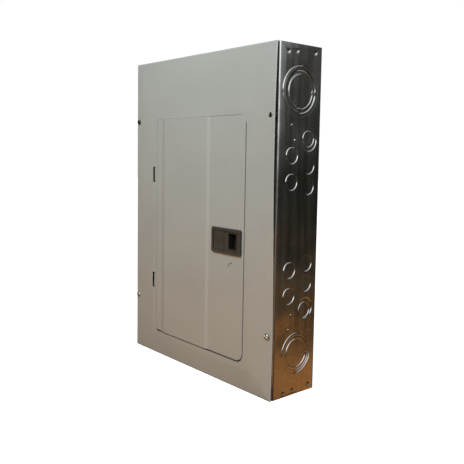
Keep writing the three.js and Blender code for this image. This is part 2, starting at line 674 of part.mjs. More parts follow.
/** A terminal block with a wire way along Z and a set screw's hole from the front. */
function lug(x, halfW, yFront, yBack, z, height) {
  const middle = (yFront + yBack) / 2;
  const wireR = halfW * 0.62;
  return cut(
    box(x - halfW, x + halfW, yFront, yBack, z, z + height),
    cylinder('z', x, middle + 2, wireR, z - 1, z + height + 1, 16),
    cylinder('y', x, z + height / 2, wireR * 0.7, yFront - 1, middle, 12),
  );
}

// ---------------------------------------------------------------- interior

function mountingPan() {
  const { half_w: half, foot } = PAN;
  const footBack = BACK_INNER - GAP;
  const footFront = footBack - SHEET;
  const right = [[half, PAN_Y], [half, footFront], [half + foot, footFront], [half + foot, footBack]];
  const under = [[half - SHEET, footBack], [half - SHEET, PAN_Y + SHEET]];
  const mirror = (points) => points.map(([x, y]) => [-x, y]).reverse();
  const outline = [...right, ...under, ...mirror(under), ...mirror(right)];
  const holes = PAN_SCREWS.map(
    ([x, z]) => cylinder('y', x, z, PAN_HOLE_R, footFront - 1, footBack + 1, 12),
  );
  return cut(extrudeUp(outline, PAN.bottom, PAN.top), ...holes);
}

function panScrew([x, z]) {
  const seat = BACK_INNER - GAP - SHEET - GAP;
  const profile = [[0, -2.6], [3, -2.2], [4, -0.8], [4, 0], [1.9, 0], [1.9, 2.2], [0, 2.6]];
  const geometry = new THREE.LatheGeometry(profile.map(([r, y]) => new THREE.Vector2(r, y)), 12);
  geometry.translate(x, seat, z);
  return solidOf(geometry);
}

/** The moulded base under the bus bars, with a low wall down each side and a rib between rows. */
function busSupport() {
  const { half_w: half, channel_half_w: channelHalf, shell_half_w: shellHalf, bottom, top, front } = BASE;
  const back = PAN_Y - GAP;
  const busBack = BUS_Y + BUS_T;
  const tray = box(-half, half, front, back, bottom, top);
  const channel = box(-channelHalf, channelHalf, front - THROUGH, busBack + GAP, bottom - 1, top + 1);
  const shell = box(-shellHalf, shellHalf, busBack + 4, back + 1, bottom + 8, top - 8);
  const ribs = [];
  for (let row = 2; row <= ROWS; row += 1) {
    ribs.push(box(-half, half, busBack + 5, back - 1.5, rowTop(row) - 2.5, rowTop(row) + 2.5));
  }
  return join(cut(tray, channel, shell), ...ribs);
}

/** A line bar with a stab at every other row; side is the half of the panel that it runs in. */
function busBar(side, firstRow) {
  const edges = (a, b) => [side * a, side * b].sort((p, q) => p - q);
  const back = BUS_Y + BUS_T;
  const pieces = [box(...edges(BUS.inner, BUS.outer), BUS_Y, back, rowTop(ROWS + 1) + 2, BUS.top)];
  for (let row = firstRow; row <= ROWS; row += 2) {
    const z = rowTop(row) - PITCH / 2;
    const stab = [z - BUS.stab_half_h, z + BUS.stab_half_h];
    pieces.push(box(...edges(-BUS.reach, BUS.inner + 1), BUS_Y, back, ...stab));
    for (const half of [-1, 1]) {
      const blade = [half * BLADE.inner, half * BLADE.outer].sort((p, q) => p - q);
      pieces.push(box(...blade, BLADE.front, BUS_Y + 1, z - BLADE.half_h, z + BLADE.half_h));
    }
  }
  return join(...pieces);
}

/** The strip that the outer ends of the breakers hook on. */
function breakerRail(side) {
  const outline = [
    [70, 60], [75, 60], [75, 61.5], [71.5, 61.5], [71.5, PAN_Y - GAP - 1.5],
    [82, PAN_Y - GAP - 1.5], [82, PAN_Y - GAP], [70, PAN_Y - GAP],
  ].map(([x, y]) => [side * x, y]);
  return extrudeUp(outline, rowTop(ROWS + 1), ROWS_TOP);
}

function neutralBar(side) {
  const { x, half_w: half, front, back, bottom, top } = NEUTRAL;
  const bar = box(side * x - half, side * x + half, front, back, bottom, top);
  const middle = (front + back) / 2;
  const holes = [];
  for (let z = bottom + 30; z < top - 6; z += TERMINAL_PITCH) {
    holes.push(cylinder('x', middle + 1.5, z, 2.8, side * x - half - 1, side * x + half + 1, 8));
    holes.push(cylinder('y', side * x, z, 2, front - 1, middle, 8));
  }
  return cut(bar, ...holes);
}

/** Two posts on a foot strip that hold a neutral bar off the back of the box. */
function neutralSupport(side) {
  const { x, half_w: half, back, bottom, top } = NEUTRAL;
  const foot = box(side * x - half - 3, side * x + half + 3, 93, BACK_INNER - GAP, bottom + 10, top - 10);
  const posts = [bottom + 45, top - 45].map(
    (z) => box(side * x - half, side * x + half, back + GAP, 94, z - 9, z + 9),
  );
  return join(foot, ...posts);
}

function neutralCrossStrap() {
  const { x, half_w: half, front, bottom } = NEUTRAL;
  return box(-x - half, x + half, front - GAP - 3, front - GAP, bottom + 1, bottom + 13);
}

function groundBar() {
  const { x, half_w: half, front, back, bottom, top } = GROUND;
  const bar = box(x - half, x + half, front, back, bottom, top);
  const foot = (z) => box(x - half, x + half, back - 1, BACK_INNER - GAP, z - 7, z + 7);
  const holes = [];
  for (let z = bottom + 22; z < top - 16; z += TERMINAL_PITCH) {
    holes.push(cylinder('x', (front + back) / 2 + 0.5, z, 2.6, x - half - 1, x + half + 1, 8));
    holes.push(cylinder('y', x, z, 1.9, front - 1, (front + back) / 2, 8));
  }
  return cut(join(bar, foot(bottom + 8), foot(top - 8)), ...holes);
}

/** A bent strip from the foot of the right neutral bar to the back of the box. */
function bondingStrap() {
  const x = NEUTRAL.x;
  const barBack = NEUTRAL.back + GAP;
  const wall = BACK_INNER - GAP;
  const outline = [
    [x - 4, barBack], [x + 12, barBack], [x + 12, wall - 1.5], [x + 26, wall - 1.5],
    [x + 26, wall], [x + 10.5, wall], [x + 10.5, barBack + 1.5], [x - 4, barBack + 1.5],
  ];
  return extrudeUp(outline, NEUTRAL.bottom, NEUTRAL.bottom + 9);
}

// ---------------------------------------------------------------- assembly

const part = new THREE.Group();
// The part's origin is under the middle of its bounding box, which the latch's face starts.
part.position.y = -(BOX_D - CREST - LATCH_PROUD) / 2;

function place(name, look, solid) {
  const mesh = new THREE.Mesh(geometryOf(solid), LOOKS[look]());
  mesh.name = name;
  part.add(mesh);
}

place('enclosure_wrap', 'galvanised', enclosureWrap());
place('top_end_wall', 'galvanised', endWall(1));
place('bottom_end_wall', 'galvanised', endWall(-1));
place('trim_cover', 'grey_paint', trimCover());
place('dead_front', 'grey_paint', deadFront());
let screwNumber = 0;
for (const side of [-1, 1]) {
  for (const z of COVER_SCREW_HEIGHTS) {
    screwNumber += 1;
    place(`cover_screw_${screwNumber}`, 'zinc', coverScrew(side, z));
  }
}

place('door_panel', 'grey_paint', doorPanel());
place('latch_bezel', 'charcoal', latchBezel());
place('latch_slide', 'charcoal', latchSlide());
place('latch_spring', 'zinc', latchSpring());
place('circuit_directory', 'card', circuitDirectory());

place('mounting_pan', 'galvanised', mountingPan());
PAN_SCREWS.forEach((spot, index) => place(`pan_screw_${index + 1}`, 'zinc', panScrew(spot)));
place('bus_support', 'insulator', busSupport());
place('bus_bar_a', 'aluminium', busBar(-1, 1));
place('bus_bar_b', 'aluminium', busBar(1, 2));
for (const [side, word] of [[-1, 'left'], [1, 'right']]) {
  place(`breaker_rail_${word}`, 'galvanised', breakerRail(side));
  place(`neutral_bar_${word}`, 'aluminium', neutralBar(side));
  place(`neutral_support_${word}`, 'black_case', neutralSupport(side));
  place(`main_lug_${word}`, 'aluminium', lug(
    side * MAIN_LUG.x, MAIN_LUG.half_w, MAIN_LUG.y_front, MAIN_LUG.y_back,
    MAIN.top - MAIN_LUG.bay_depth + GAP, MAIN_LUG.height,
  ));
}
place('neutral_cross_strap', 'aluminium', neutralCrossStrap());
place('neutral_lug', 'aluminium', lug(
  -NEUTRAL.x, NEUTRAL_LUG.half_w, NEUTRAL_LUG.front, NEUTRAL_LUG.back,
  NEUTRAL.top + GAP, NEUTRAL_LUG.height,
));
place('ground_bar', 'aluminium', groundBar());
place('bonding_strap', 'copper', bondingStrap());

place('main_breaker_case', 'black_case', mainCase());
place('main_breaker_handle', 'handle', mainHandle());
BREAKERS.forEach((breaker, index) => {
  const poles = breaker[2] > 1 ? 'double' : 'single';
  place(`${poles}_breaker_case_${index + 1}`, 'black_case', branchCase(breaker));
  place(`${poles}_breaker_handle_${index + 1}`, 'handle', branchHandle(breaker));
});

export default part;
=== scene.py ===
"""Looks of the residential load center: sheet-steel box, cover and door, latch, interior."""

import json
import math

import bmesh
import bpy
from mathutils import Euler, Matrix, Vector
from mathutils.geometry import delaunay_2d_cdt

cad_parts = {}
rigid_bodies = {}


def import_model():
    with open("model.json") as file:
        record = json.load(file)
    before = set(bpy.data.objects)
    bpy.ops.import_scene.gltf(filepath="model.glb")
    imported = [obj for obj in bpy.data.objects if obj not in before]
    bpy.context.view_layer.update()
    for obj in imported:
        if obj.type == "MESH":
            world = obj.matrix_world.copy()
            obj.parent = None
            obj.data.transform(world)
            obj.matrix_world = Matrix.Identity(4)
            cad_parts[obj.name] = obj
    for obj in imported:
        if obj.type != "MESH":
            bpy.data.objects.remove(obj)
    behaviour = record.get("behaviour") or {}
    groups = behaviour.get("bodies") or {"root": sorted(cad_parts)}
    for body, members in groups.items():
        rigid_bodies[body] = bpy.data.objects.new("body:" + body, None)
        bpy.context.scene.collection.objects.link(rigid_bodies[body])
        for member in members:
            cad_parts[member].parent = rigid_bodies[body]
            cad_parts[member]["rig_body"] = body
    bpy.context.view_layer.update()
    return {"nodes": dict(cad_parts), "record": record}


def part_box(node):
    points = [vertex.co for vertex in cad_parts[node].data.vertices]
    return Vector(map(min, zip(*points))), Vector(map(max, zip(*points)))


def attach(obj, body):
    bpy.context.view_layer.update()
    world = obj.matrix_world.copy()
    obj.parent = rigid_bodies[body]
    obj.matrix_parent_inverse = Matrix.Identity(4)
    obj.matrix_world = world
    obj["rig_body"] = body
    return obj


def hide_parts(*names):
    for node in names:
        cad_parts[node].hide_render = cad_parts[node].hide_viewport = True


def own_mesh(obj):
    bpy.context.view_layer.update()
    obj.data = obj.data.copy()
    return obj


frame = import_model()

MM = 0.001
SHEET = 1.2 * MM  # box, cover and door steel


# ---- places taken from the frame

def node_box(name):
    """The lowest and highest corner of a CAD node, in metres."""
    low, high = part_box(name)
    return Vector(low), Vector(high)


COVER_LOW, COVER_HIGH = node_box("trim_cover")
WRAP_LOW, WRAP_HIGH = node_box("enclosure_wrap")
LATCH_LOW, LATCH_HIGH = node_box("latch_bezel")
CREST_Y = COVER_LOW.y  # the cover's crest, which the door's rim lies level with
EDGE_Y = CREST_Y + 3.5 * MM  # the plane of the cover's edges
LEFT_X = COVER_LOW.x
HEIGHT = COVER_HIGH.z
COVER_W = (COVER_HIGH.x - COVER_LOW.x) / MM
COVER_H = HEIGHT / MM


def from_left(value):
    """A distance in mm from the cover's left edge, as an x."""
    return LEFT_X + value * MM


# ---- shader helpers

def new_material(name):
    material = bpy.data.materials.new(name)
    material.use_nodes = True
    material.node_tree.nodes.clear()
    return material, material.node_tree


def fill(tree, socket, value):
    """Links a socket to another node's output, or sets it to a value."""
    if isinstance(value, bpy.types.NodeSocket):
        tree.links.new(value, socket)
    else:
        socket.default_value = value


def add(tree, kind, **inputs):
    """Adds a node, with a value or another node's output for each named input."""
    made = tree.nodes.new(kind)
    for key, value in inputs.items():
        fill(tree, made.inputs[key.replace("_", " ")], value)
    return made


def coordinates(tree, scale=(1, 1, 1)):
    """Object coordinates in metres, stretched along each axis."""
    place = add(tree, "ShaderNodeTexCoord")
    mapped = add(tree, "ShaderNodeMapping", Vector=place.outputs["Object"], Scale=scale)
    return mapped.outputs["Vector"]


def noise(tree, vector, scale, detail=3.0, roughness=0.5):
    made = add(
        tree, "ShaderNodeTexNoise", Vector=vector, Scale=scale, Detail=detail, Roughness=roughness
    )
    return made.outputs["Fac"]


def ramp(tree, factor, stops):
    """A colour ramp; stops are (position, colour or grey)."""
    made = add(tree, "ShaderNodeValToRGB", Fac=factor)
    elements = made.color_ramp.elements
    while len(elements) < len(stops):
        elements.new(0.5)
    for element, (position, colour) in zip(elements, stops):
        element.position = position
        grey = isinstance(colour, (int, float))
        element.color = (colour, colour, colour, 1) if grey else (*colour, 1)
    return made.outputs["Color"]


def mix(tree, factor, first, second, blend="MIX"):
    made = tree.nodes.new("ShaderNodeMix")
    made.data_type = "RGBA"
    made.blend_type = blend
    for index, value in ((0, factor), (6, first), (7, second)):
        fill(tree, made.inputs[index], value)
    return made.outputs[2]


def calculate(tree, operation, first, second=0.0):
    made = tree.nodes.new("ShaderNodeMath")
    made.operation = operation
    for socket, value in zip(made.inputs, (first, second)):
        fill(tree, socket, value)
    return made.outputs[0]


def bump(tree, height, distance, strength=1.0, normal=None):
    made = add(tree, "ShaderNodeBump", Height=height, Distance=distance, Strength=strength)
    if normal is not None:
        tree.links.new(normal, made.inputs["Normal"])
    return made.outputs["Normal"]


def finish_material(tree, **inputs):
    surface = add(tree, "ShaderNodeBsdfPrincipled", **inputs)
    add(tree, "ShaderNodeOutputMaterial", Surface=surface.outputs["BSDF"])


# ---- materials

def painted_steel(name, light, dark):
    """Semi-gloss powder coat: fine orange peel over sheet that isn't quite flat."""
    material, tree = new_material(name)
    place = coordinates(tree)
    cloud = noise(tree, place, 9, 4)
    speck = noise(tree, place, 1400, 2)
    colour = ramp(tree, cloud, [(0.3, dark), (0.7, light)])
    colour = mix(tree, 0.10, colour, ramp(tree, speck, [(0.35, 0.12), (0.65, 0.75)]), "OVERLAY")
    sheet_wave = bump(tree, noise(tree, place, 4.5, 1), 0.004)
    peel = bump(tree, noise(tree, place, 620, 2), 0.00003, 0.5, sheet_wave)
    gloss = ramp(tree, noise(tree, place, 60, 3), [(0.2, 0.42), (0.8, 0.52)])
    finish_material(tree, Base_Color=colour, Roughness=gloss, Normal=peel)
    return material


def galvanised_steel(name):
    """Semi-bright zinc: soft spangle, rolling streaks along Z, handling scuffs."""
    material, tree = new_material(name)
    place = coordinates(tree)
    drawn = coordinates(tree, (1, 1, 0.03))
    long_drawn = coordinates(tree, (1, 1, 0.06))
    spangle = add(tree, "ShaderNodeTexVoronoi", Vector=place, Scale=150.0, Randomness=1.0)
    greys = [(0.0, (0.50, 0.51, 0.51)), (1.0, (0.70, 0.71, 0.70))]
    flakes = ramp(tree, spangle.outputs["Color"], greys)
    lines = noise(tree, drawn, 900, 2)
    streaks = noise(tree, long_drawn, 90, 4, 0.6)
    cloud = noise(tree, place, 14, 5, 0.6)
    colour = mix(tree, 0.35, flakes, ramp(tree, cloud, [(0.3, 0.40), (0.7, 0.66)]))
    colour = mix(tree, 0.35, colour, ramp(tree, streaks, [(0.3, 0.42), (0.7, 0.72)]))
    gloss = ramp(tree, cloud, [(0.25, 0.12), (0.75, 0.24)])
    gloss = mix(tree, 0.35, gloss, ramp(tree, streaks, [(0.3, 0.08), (0.7, 0.32)]))
    wave = bump(tree, noise(tree, place, 7, 2), 0.004)
    ripple = bump(tree, streaks, 0.00012, 1.0, wave)
    marks = bump(tree, lines, 0.00002, 0.5, ripple)
    grain = bump(tree, spangle.outputs["Distance"], 0.00004, 0.6, marks)
    finish_material(tree, Base_Color=colour, Metallic=1.0, Roughness=gloss, Normal=grain)
    return material


def moulded_plastic(name, colour, roughness, grain=0.00004):
    """Moulded plastic with a fine spark-eroded grain and slight colour drift."""
    material, tree = new_material(name)
    place = coordinates(tree)
    lighter = tuple(min(1, channel * 1.25) for channel in colour)
    darker = tuple(channel * 0.8 for channel in colour)
    tone = ramp(tree, noise(tree, place, 40, 4), [(0.3, darker), (0.7, lighter)])
    gloss = ramp(
        tree, noise(tree, place, 220, 3), [(0.3, roughness - 0.06), (0.7, roughness + 0.08)]
    )
    texture = bump(tree, noise(tree, place, 1600, 2), grain, 0.7)
    finish_material(tree, Base_Color=tone, Roughness=gloss, Normal=texture)
    return material


def plated_metal(name, colour, roughness, scale=(1, 1, 1)):
    """Plated or bare metal with fine turning or drawing marks along the stretched axis."""
    material, tree = new_material(name)
    place = coordinates(tree)
    drawn = coordinates(tree, scale)
    darker = tuple(channel * 0.82 for channel in colour)
    tone = ramp(tree, noise(tree, place, 90, 4), [(0.3, darker), (0.7, colour)])
    lines = noise(tree, drawn, 1500, 2)
    gloss = ramp(tree, lines, [(0.3, roughness - 0.08), (0.7, roughness + 0.1)])
    finish_material(
        tree, Base_Color=tone, Metallic=1.0, Roughness=gloss, Normal=bump(tree, lines, 0.00001, 0.5)
    )
    return material


HALF_ROW = 6 * MM  # half the height of a row on the directory card


def card_stock(name):
    """A ruled directory card: two columns of blank rows."""
    material, tree = new_material(name)
    place = coordinates(tree)
    split = add(tree, "ShaderNodeSeparateXYZ", Vector=place)
    from_rule = calculate(tree, "PINGPONG", split.outputs["Z"], HALF_ROW)
    thin = calculate(tree, "MULTIPLY", from_rule, 100.0)
    line = ramp(tree, thin, [(0.02, (0.25, 0.27, 0.3)), (0.06, (0.82, 0.80, 0.72))])
    fibre = ramp(tree, noise(tree, place, 300, 3), [(0.3, 0.86), (0.7, 1.0)])
    colour = mix(tree, 1.0, line, fibre, "MULTIPLY")
    finish_material(tree, Base_Color=colour, Roughness=0.85)
    return material


PAINT = painted_steel("grey_paint", (0.385, 0.392, 0.368), (0.360, 0.366, 0.345))
ZINC_SHEET = galvanised_steel("galvanised_steel")
CHARCOAL = moulded_plastic("charcoal_plastic", (0.042, 0.040, 0.035), 0.42)
# painted shade: the cup behind the finger pocket gets a near-black copy of the latch plastic,
# darker than the charcoal, that stands in for the shade inside the pocket
POCKET_PAINTED_SHADE = moulded_plastic("pocket_plastic_painted_shade", (0.010, 0.010, 0.009), 0.5)

ZINC_PLATE = plated_metal("zinc_plate", (0.50, 0.49, 0.47), 0.28)
# painted reflection: a darkened copy of the zinc plate for the upper two cover screws, standing in
# for the dark surroundings that their heads mirror
ZINC_PAINTED_DARK_REFLECTION = plated_metal("zinc_plate_painted_dark_reflection", (0.10, 0.10, 0.095), 0.25)
SPRING_WIRE = plated_metal("spring_wire", (0.42, 0.42, 0.43), 0.35)
TINNED = plated_metal("tinned_aluminium", (0.78, 0.79, 0.80), 0.32, (1, 1, 0.05))
COPPER = plated_metal("bare_copper", (0.72, 0.36, 0.22), 0.3)
INSULATOR = moulded_plastic("bus_insulator", (0.16, 0.045, 0.03), 0.5)
CASE_BLACK = moulded_plastic("black_case", (0.018, 0.018, 0.019), 0.45)
TOGGLE_BLACK = moulded_plastic("toggle_black", (0.050, 0.050, 0.052), 0.32)
CARD = card_stock("directory_card")


# ---- mesh helpers

SMOOTH_ANGLE = 35  # degrees; a sharper edge stays an edge


def circle_loop(centre, radius, count=48):
    turn = 2 * math.pi / count
    return [
        (centre[0] + radius * math.cos(step * turn), centre[1] + radius * math.sin(step * turn))
        for step in range(count)
    ]


def rounded_loop(low, high, left_radius, right_radius, steps=8):
    """A rectangle's outline, anticlockwise, with its own radius for the left and right corners."""
    corners = [
        (high[0] - right_radius, low[1] + right_radius, right_radius, -90),
        (high[0] - right_radius, high[1] - right_radius, right_radius, 0),
        (low[0] + left_radius, high[1] - left_radius, left_radius, 90),
        (low[0] + left_radius, low[1] + left_radius, left_radius, 180),
    ]
    points = []
    for centre_x, centre_y, radius, start in corners:
        for step in range(steps + 1):
            angle = math.radians(start + 90 * step / steps)
            across, up = radius * math.cos(angle), radius * math.sin(angle)
            points.append((centre_x + across, centre_y + up))
    return points


def inside(loop, point):
    """Whether a point lies within a closed loop."""
    x, y = point
    within = False
    for (x0, y0), (x1, y1) in zip(loop, loop[1:] + loop[:1]):
        if (y0 > y) != (y1 > y) and x < (x1 - x0) * (y - y0) / (y1 - y0) + x0:
            within = not within
    return within


def box_loop(low, high):
    """A rectangle's outline, anticlockwise."""
    return [(low[0], low[1]), (high[0], low[1]), (high[0], high[1]), (low[0], high[1])]


def smoothstep(value):
    value = min(1.0, max(0.0, value))
    return value * value * (3 - 2 * value)


def join_rows(bm, rows, closed=True):
    """Faces between neighbouring rows of vertices; a row of one vertex is a tip."""
    count = max(len(row) for row in rows)
    for before, after in zip(rows, rows[1:]):
        for step in range(count if closed else count - 1):
            ahead = (step + 1) % count
            corners = (
                before[step % len(before)], after[step % len(after)],
                after[ahead % len(after)], before[ahead % len(before)],
            )
            bm.faces.new(list(dict.fromkeys(corners)))


def capped(part, ease):
    """A part that is held at 1 from there on, with the bend at 1 rounded over the ease."""
    if part >= 1 + ease:
        return 1.0
    over = max(0.0, part - (1 - ease))
    return part - over * over / (4 * ease)


def made_by(extrusion, kind):
    """The vertices or edges that an extrusion made."""
    return [item for item in extrusion["geom"] if isinstance(item, kind)]


def finished_mesh(name, bm):
    """The mesh of a finished bmesh, which is freed."""
    mesh = bpy.data.meshes.new(name)
    bm.to_mesh(mesh)
    bm.free()
    return mesh


def link_object(name, data):
    thing = bpy.data.objects.new(name, data)
    bpy.context.scene.collection.objects.link(thing)
    return thing


def add_mesh(name, bm, material, body, replaces=()):
    mesh = finished_mesh(name, bm)
    mesh.materials.append(material)
    piece = link_object(name, mesh)
    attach(piece, body)
    if replaces:
        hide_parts(*replaces)
    return piece


def apply_modifiers(piece):
    """Bakes the piece's modifiers into its mesh."""
    graph = bpy.context.evaluated_depsgraph_get()
    baked = bpy.data.meshes.new_from_object(piece.evaluated_get(graph))
    piece.modifiers.clear()
    piece.data = baked


def smooth(piece, angle=SMOOTH_ANGLE):
    """Smooth shading that keeps flat faces flat and edges above the angle sharp."""
    piece.data.shade_smooth()
    piece.data.set_sharp_from_angle(angle=math.radians(angle))
    weighted = piece.modifiers.new("normals", "WEIGHTED_NORMAL")
    weighted.keep_sharp = True
    apply_modifiers(piece)


def lifted_sheet(outline, holes, lines, place, flip=False):
    """A flat blank in mm, cut at its outline and holes, each point then lifted to its place.

    lines are closed loops that the mesh has to follow, so that dents and bends come out crisp."""
    points = []
    edges = []
    for loop in [outline, *holes, *lines]:
        first = len(points)
        points.extend(Vector(point) for point in loop)
        count = len(loop)
        edges.extend((first + step, first + (step + 1) % count) for step in range(count))
    flat, _, faces, *_ = delaunay_2d_cdt(points, edges, [], 1, 1e-5)
    bm = bmesh.new()
    verts = [bm.verts.new(place(*point)) for point in flat]
    for face in faces:
        middle = sum((flat[index] for index in face), Vector((0, 0))) / len(face)
        if inside(outline, middle) and not any(inside(hole, middle) for hole in holes):
            bm.faces.new([verts[index] for index in (reversed(face) if flip else face)])
    loose = [vert for vert in bm.verts if not vert.link_faces]
    bmesh.ops.delete(bm, geom=loose, context="VERTS")
    return bm


def solidify(piece, thickness):
    """Adds a sheet's thickness, behind its outer face."""
    solid = piece.modifiers.new("thickness", "SOLIDIFY")
    solid.thickness = thickness
    solid.offset = -1


def round_edges(piece, width, angle):
    """Adds a small rounding, of a width in mm, to the edges that are sharper than the angle."""
    eased = piece.modifiers.new("edges", "BEVEL")
    eased.width = width * MM
    eased.segments = 2
    eased.limit_method = "ANGLE"
    eased.angle_limit = math.radians(angle)


def sheet_piece(name, bm, material, body, node, edge_width=0.0):
    """A piece of sheet steel of a lifted sheet, with its cut edges eased by a width in mm."""
    piece = add_mesh(name, bm, material, body, (node,))
    solidify(piece, SHEET)
    if edge_width:
        round_edges(piece, edge_width, 60)
    apply_modifiers(piece)
    smooth(piece)


def ease_edges(piece, width):
    """Rounds a solid's edges by a width in mm and gives it smooth shading."""
    round_edges(piece, width, SMOOTH_ANGLE)
    apply_modifiers(piece)
    smooth(piece)


# ---- pressed features

class Knockout:
    """A disc sheared nearly free: a rounded groove round it, broken by ties that hold it.

    arcs are (from, to) in degrees where the groove is deep; elsewhere it is hardly pressed in."""

    SHALLOW = 0.06  # depth of the rest of the groove, as a share
    FADE = 22  # degrees that a deep arc takes to end

    def __init__(self, centre, radius, depth, ties, tie_width=9.0, wall=1.2, groove=0.9, arcs=None):
        self.centre, self.radius, self.depth = centre, radius, depth
        self.ties, self.tie_width = ties, tie_width
        self.wall, self.groove = wall, groove
        self.arcs = arcs or [(0, 360)]

    def loops(self):
        count = 72 if self.radius > 20 else 48
        shares = (1.0, 0.78, 0.5, 0.22, 0.0, -0.22, -0.5, -0.78, -1.0)
        radii = [self.radius + share * self.wall for share in shares]
        return [circle_loop(self.centre, radius, count) for radius in radii]

    def tied(self, angle):
        """1 where the disc is free of the sheet, falling to 0 at the middle of a tie."""
        free = 1.0
        for tie in self.ties:
            apart = abs((angle - tie + 180) % 360 - 180)
            free = min(free, smoothstep((apart - self.tie_width / 2) / (self.tie_width * 0.6)))
        return free

    def sheared(self, angle):
        """1 within a deep arc, falling to a shallow groove outside it."""
        strength = 0.0
        for start, end in self.arcs:
            past = abs((angle - (start + end) / 2 + 180) % 360 - 180) - (end - start) / 2
            strength = max(strength, 1 - smoothstep(past / self.FADE))
        return self.SHALLOW + (1 - self.SHALLOW) * strength

    def dent(self, point):
        """How far the sheet is pressed in inside this circle, nothing outside it."""
        across = point[0] - self.centre[0]
        up = point[1] - self.centre[1]
        reach = math.hypot(across, up) - self.radius
        if reach > self.wall * 0.99:
            return None
        angle = math.degrees(math.atan2(up, across))
        groove = self.groove * self.tied(angle) * self.sheared(angle)
        share = abs(reach) / self.wall
        if reach >= 0:
            return groove * (1 - smoothstep(share))
        if share >= 1:
            return self.depth
        return self.depth + (groove - self.depth) * (1 - smoothstep(share))


class Button:
    """A small round clinch or dimple."""

    def __init__(self, centre, radius, depth):
        self.centre, self.radius, self.depth = centre, radius, depth

    def loops(self):
        return [circle_loop(self.centre, self.radius * part, 20) for part in (1.0, 0.75, 0.5, 0.25)]

    def dent(self, point):
        reach = math.hypot(point[0] - self.centre[0], point[1] - self.centre[1])
        if reach > self.radius * 0.99:
            return None
        return self.depth * smoothstep(1.35 * (1 - reach / self.radius))


def pressed(features, point):
    """The dent at a point: the last listed feature that covers it wins."""
    depth = 0.0
    for feature in features:
        here = feature.dent(point)
        if here is not None:
            depth = here
    return depth


# ---- galvanised box

FOLD_R = 3.2  # mm, outside radius of the folds
FOLD_CROWN = 17.0  # the sides draw in a little this near their front folds
CROWN_DROP = 0.8  # and by this much at the folds
RETURN_W = 14  # width of the front returns
MOUNT_HOLES = [(x, z) for x in (-120, 120) for z in (45, 488)]
MOUNT_HOLE_R = 3.2

BOX_HALF = WRAP_HIGH.x / MM
BACK_Y = WRAP_HIGH.y / MM
FRONT_Y = WRAP_LOW.y / MM

# distances along the wrap's blank, from the middle of the back
QUARTER = FOLD_R * math.pi / 2  # the sheet that one fold takes up
BACK_FLAT = BOX_HALF - FOLD_R
SIDE_START = BACK_FLAT + QUARTER
SIDE_END = SIDE_START + BACK_Y - FRONT_Y - 2 * FOLD_R
BLANK_END = SIDE_END + QUARTER + RETURN_W - FOLD_R
SIDE_ZERO = SIDE_START + BACK_Y - FOLD_R - EDGE_Y / MM  # level with the cover's edges

# pressed features of a side, in mm: depth behind the cover's edges, height
BIG = (51.3, 464.5)
LOW = (54.8, 65.7)
SMALL_R = 12.2
SMALL_PLACES = [(35.5, 106.3), (35.5, 66.7), (73, 91), (73, 59.3)]
PAIRED = (70.8, 131.8)
PAIRED_OUTER = (72.6, 129.4)
MIRROR_HEIGHT = 263.2  # the small knockouts lie the same way above and below it
CONCENTRIC = [  # centre, radius, depth, ties, tie width, wall, groove, arcs
    (BIG, 38, 0.1, (84, 180, 358), 5, 1.4, 1.0, [(95, 178)]),
    (BIG, 31.5, 0.35, (-2,), 5, 1.9, 1.0, [(-80, 95)]),
    (BIG, 25.5, 0.45, (88, -2, 268), 6, 1.3, 1.0, [(92, 190), (-95, 0)]),
    (LOW, 32, 0.05, (0, 180), 5, 1.3, 0.75, [(92, 165), (-80, -10)]),
    (LOW, 28, 0.08, (80, 260), 5, 1.0, 0.55, [(-85, 0)]),
    (LOW, 22.5, 0.12, (86, 0, 268), 6, 1.3, 0.9, [(100, 170), (-80, -25)]),
]
DIMPLES = [  # radius, depth, places
    (4.2, 1.8, ((23.5, 520.7), (42.2, 522.8), (82.3, 523.7))),
    (3.4, 0.9, ((27.8, 6.5), (47.8, 7.6), (84.2, 9.2))),
    (2.3, 1.0, ((32.8, 415.7), (39.9, 393.2), (40.6, 128.6), (35.7, 106.4))),
]


def small_knockouts(half):
    """The small knockouts of a side's lower half (-1) or upper half (1)."""
    found = []
    for depth, rise in SMALL_PLACES:
        arcs = [(-95, 20)] if depth > 60 else [(88, 186), (-100, 25)]
        centre = (depth, MIRROR_HEIGHT + half * rise)
        found.append(Knockout(centre, SMALL_R, 0.08, (186, 22), 10, arcs=arcs))
    outer = (PAIRED_OUTER[0], MIRROR_HEIGHT + half * PAIRED_OUTER[1])
    inner = (PAIRED[0], MIRROR_HEIGHT + half * PAIRED[1])
    found.append(Knockout(outer, 16, 0.15, (90 * half + 30,), 20, arcs=[(-100, 10)]))
    found.append(Knockout(inner, SMALL_R, 0.3, (186, 20), 10, arcs=[(80, 190), (-100, 15)]))
    return found


def side_features():
    """Everything pressed into one side."""
    found = [Knockout(*row) for row in CONCENTRIC] + small_knockouts(-1) + small_knockouts(1)
    for radius, depth, places in DIMPLES:
        found.extend(Button(place, radius, depth) for place in places)
    return found


def turned_in(reach, half):
    """Position across a plate and drop below it, where its edge is folded, along its blank."""
    past = abs(reach) - (half - FOLD_R)
    side = 1 if reach >= 0 else -1
    if past <= 0:
        return reach, 0.0
    if past <= QUARTER:
        turn = past / FOLD_R
        return side * (half - FOLD_R + FOLD_R * math.sin(turn)), FOLD_R * (1 - math.cos(turn))
    return side * half, FOLD_R + past - QUARTER


def side_dent(y, height, features):
    """The pressed features of a side, and its drawing in towards the front fold."""
    drawn_in = CROWN_DROP * max(0, 1 - (y - FRONT_Y) / FOLD_CROWN) ** 2
    return pressed(features, (y - EDGE_Y / MM, height)) + drawn_in


def front_part(reach):
    """The fold from a side to the front, then the return."""
    edge_x = BACK_FLAT - CROWN_DROP * (1 - FOLD_R / FOLD_CROWN) ** 2
    past = reach - SIDE_END
    if past > QUARTER:
        return edge_x - (past - QUARTER), FRONT_Y
    turn = past / FOLD_R
    return edge_x + FOLD_R * math.cos(turn), FRONT_Y + FOLD_R - FOLD_R * math.sin(turn)


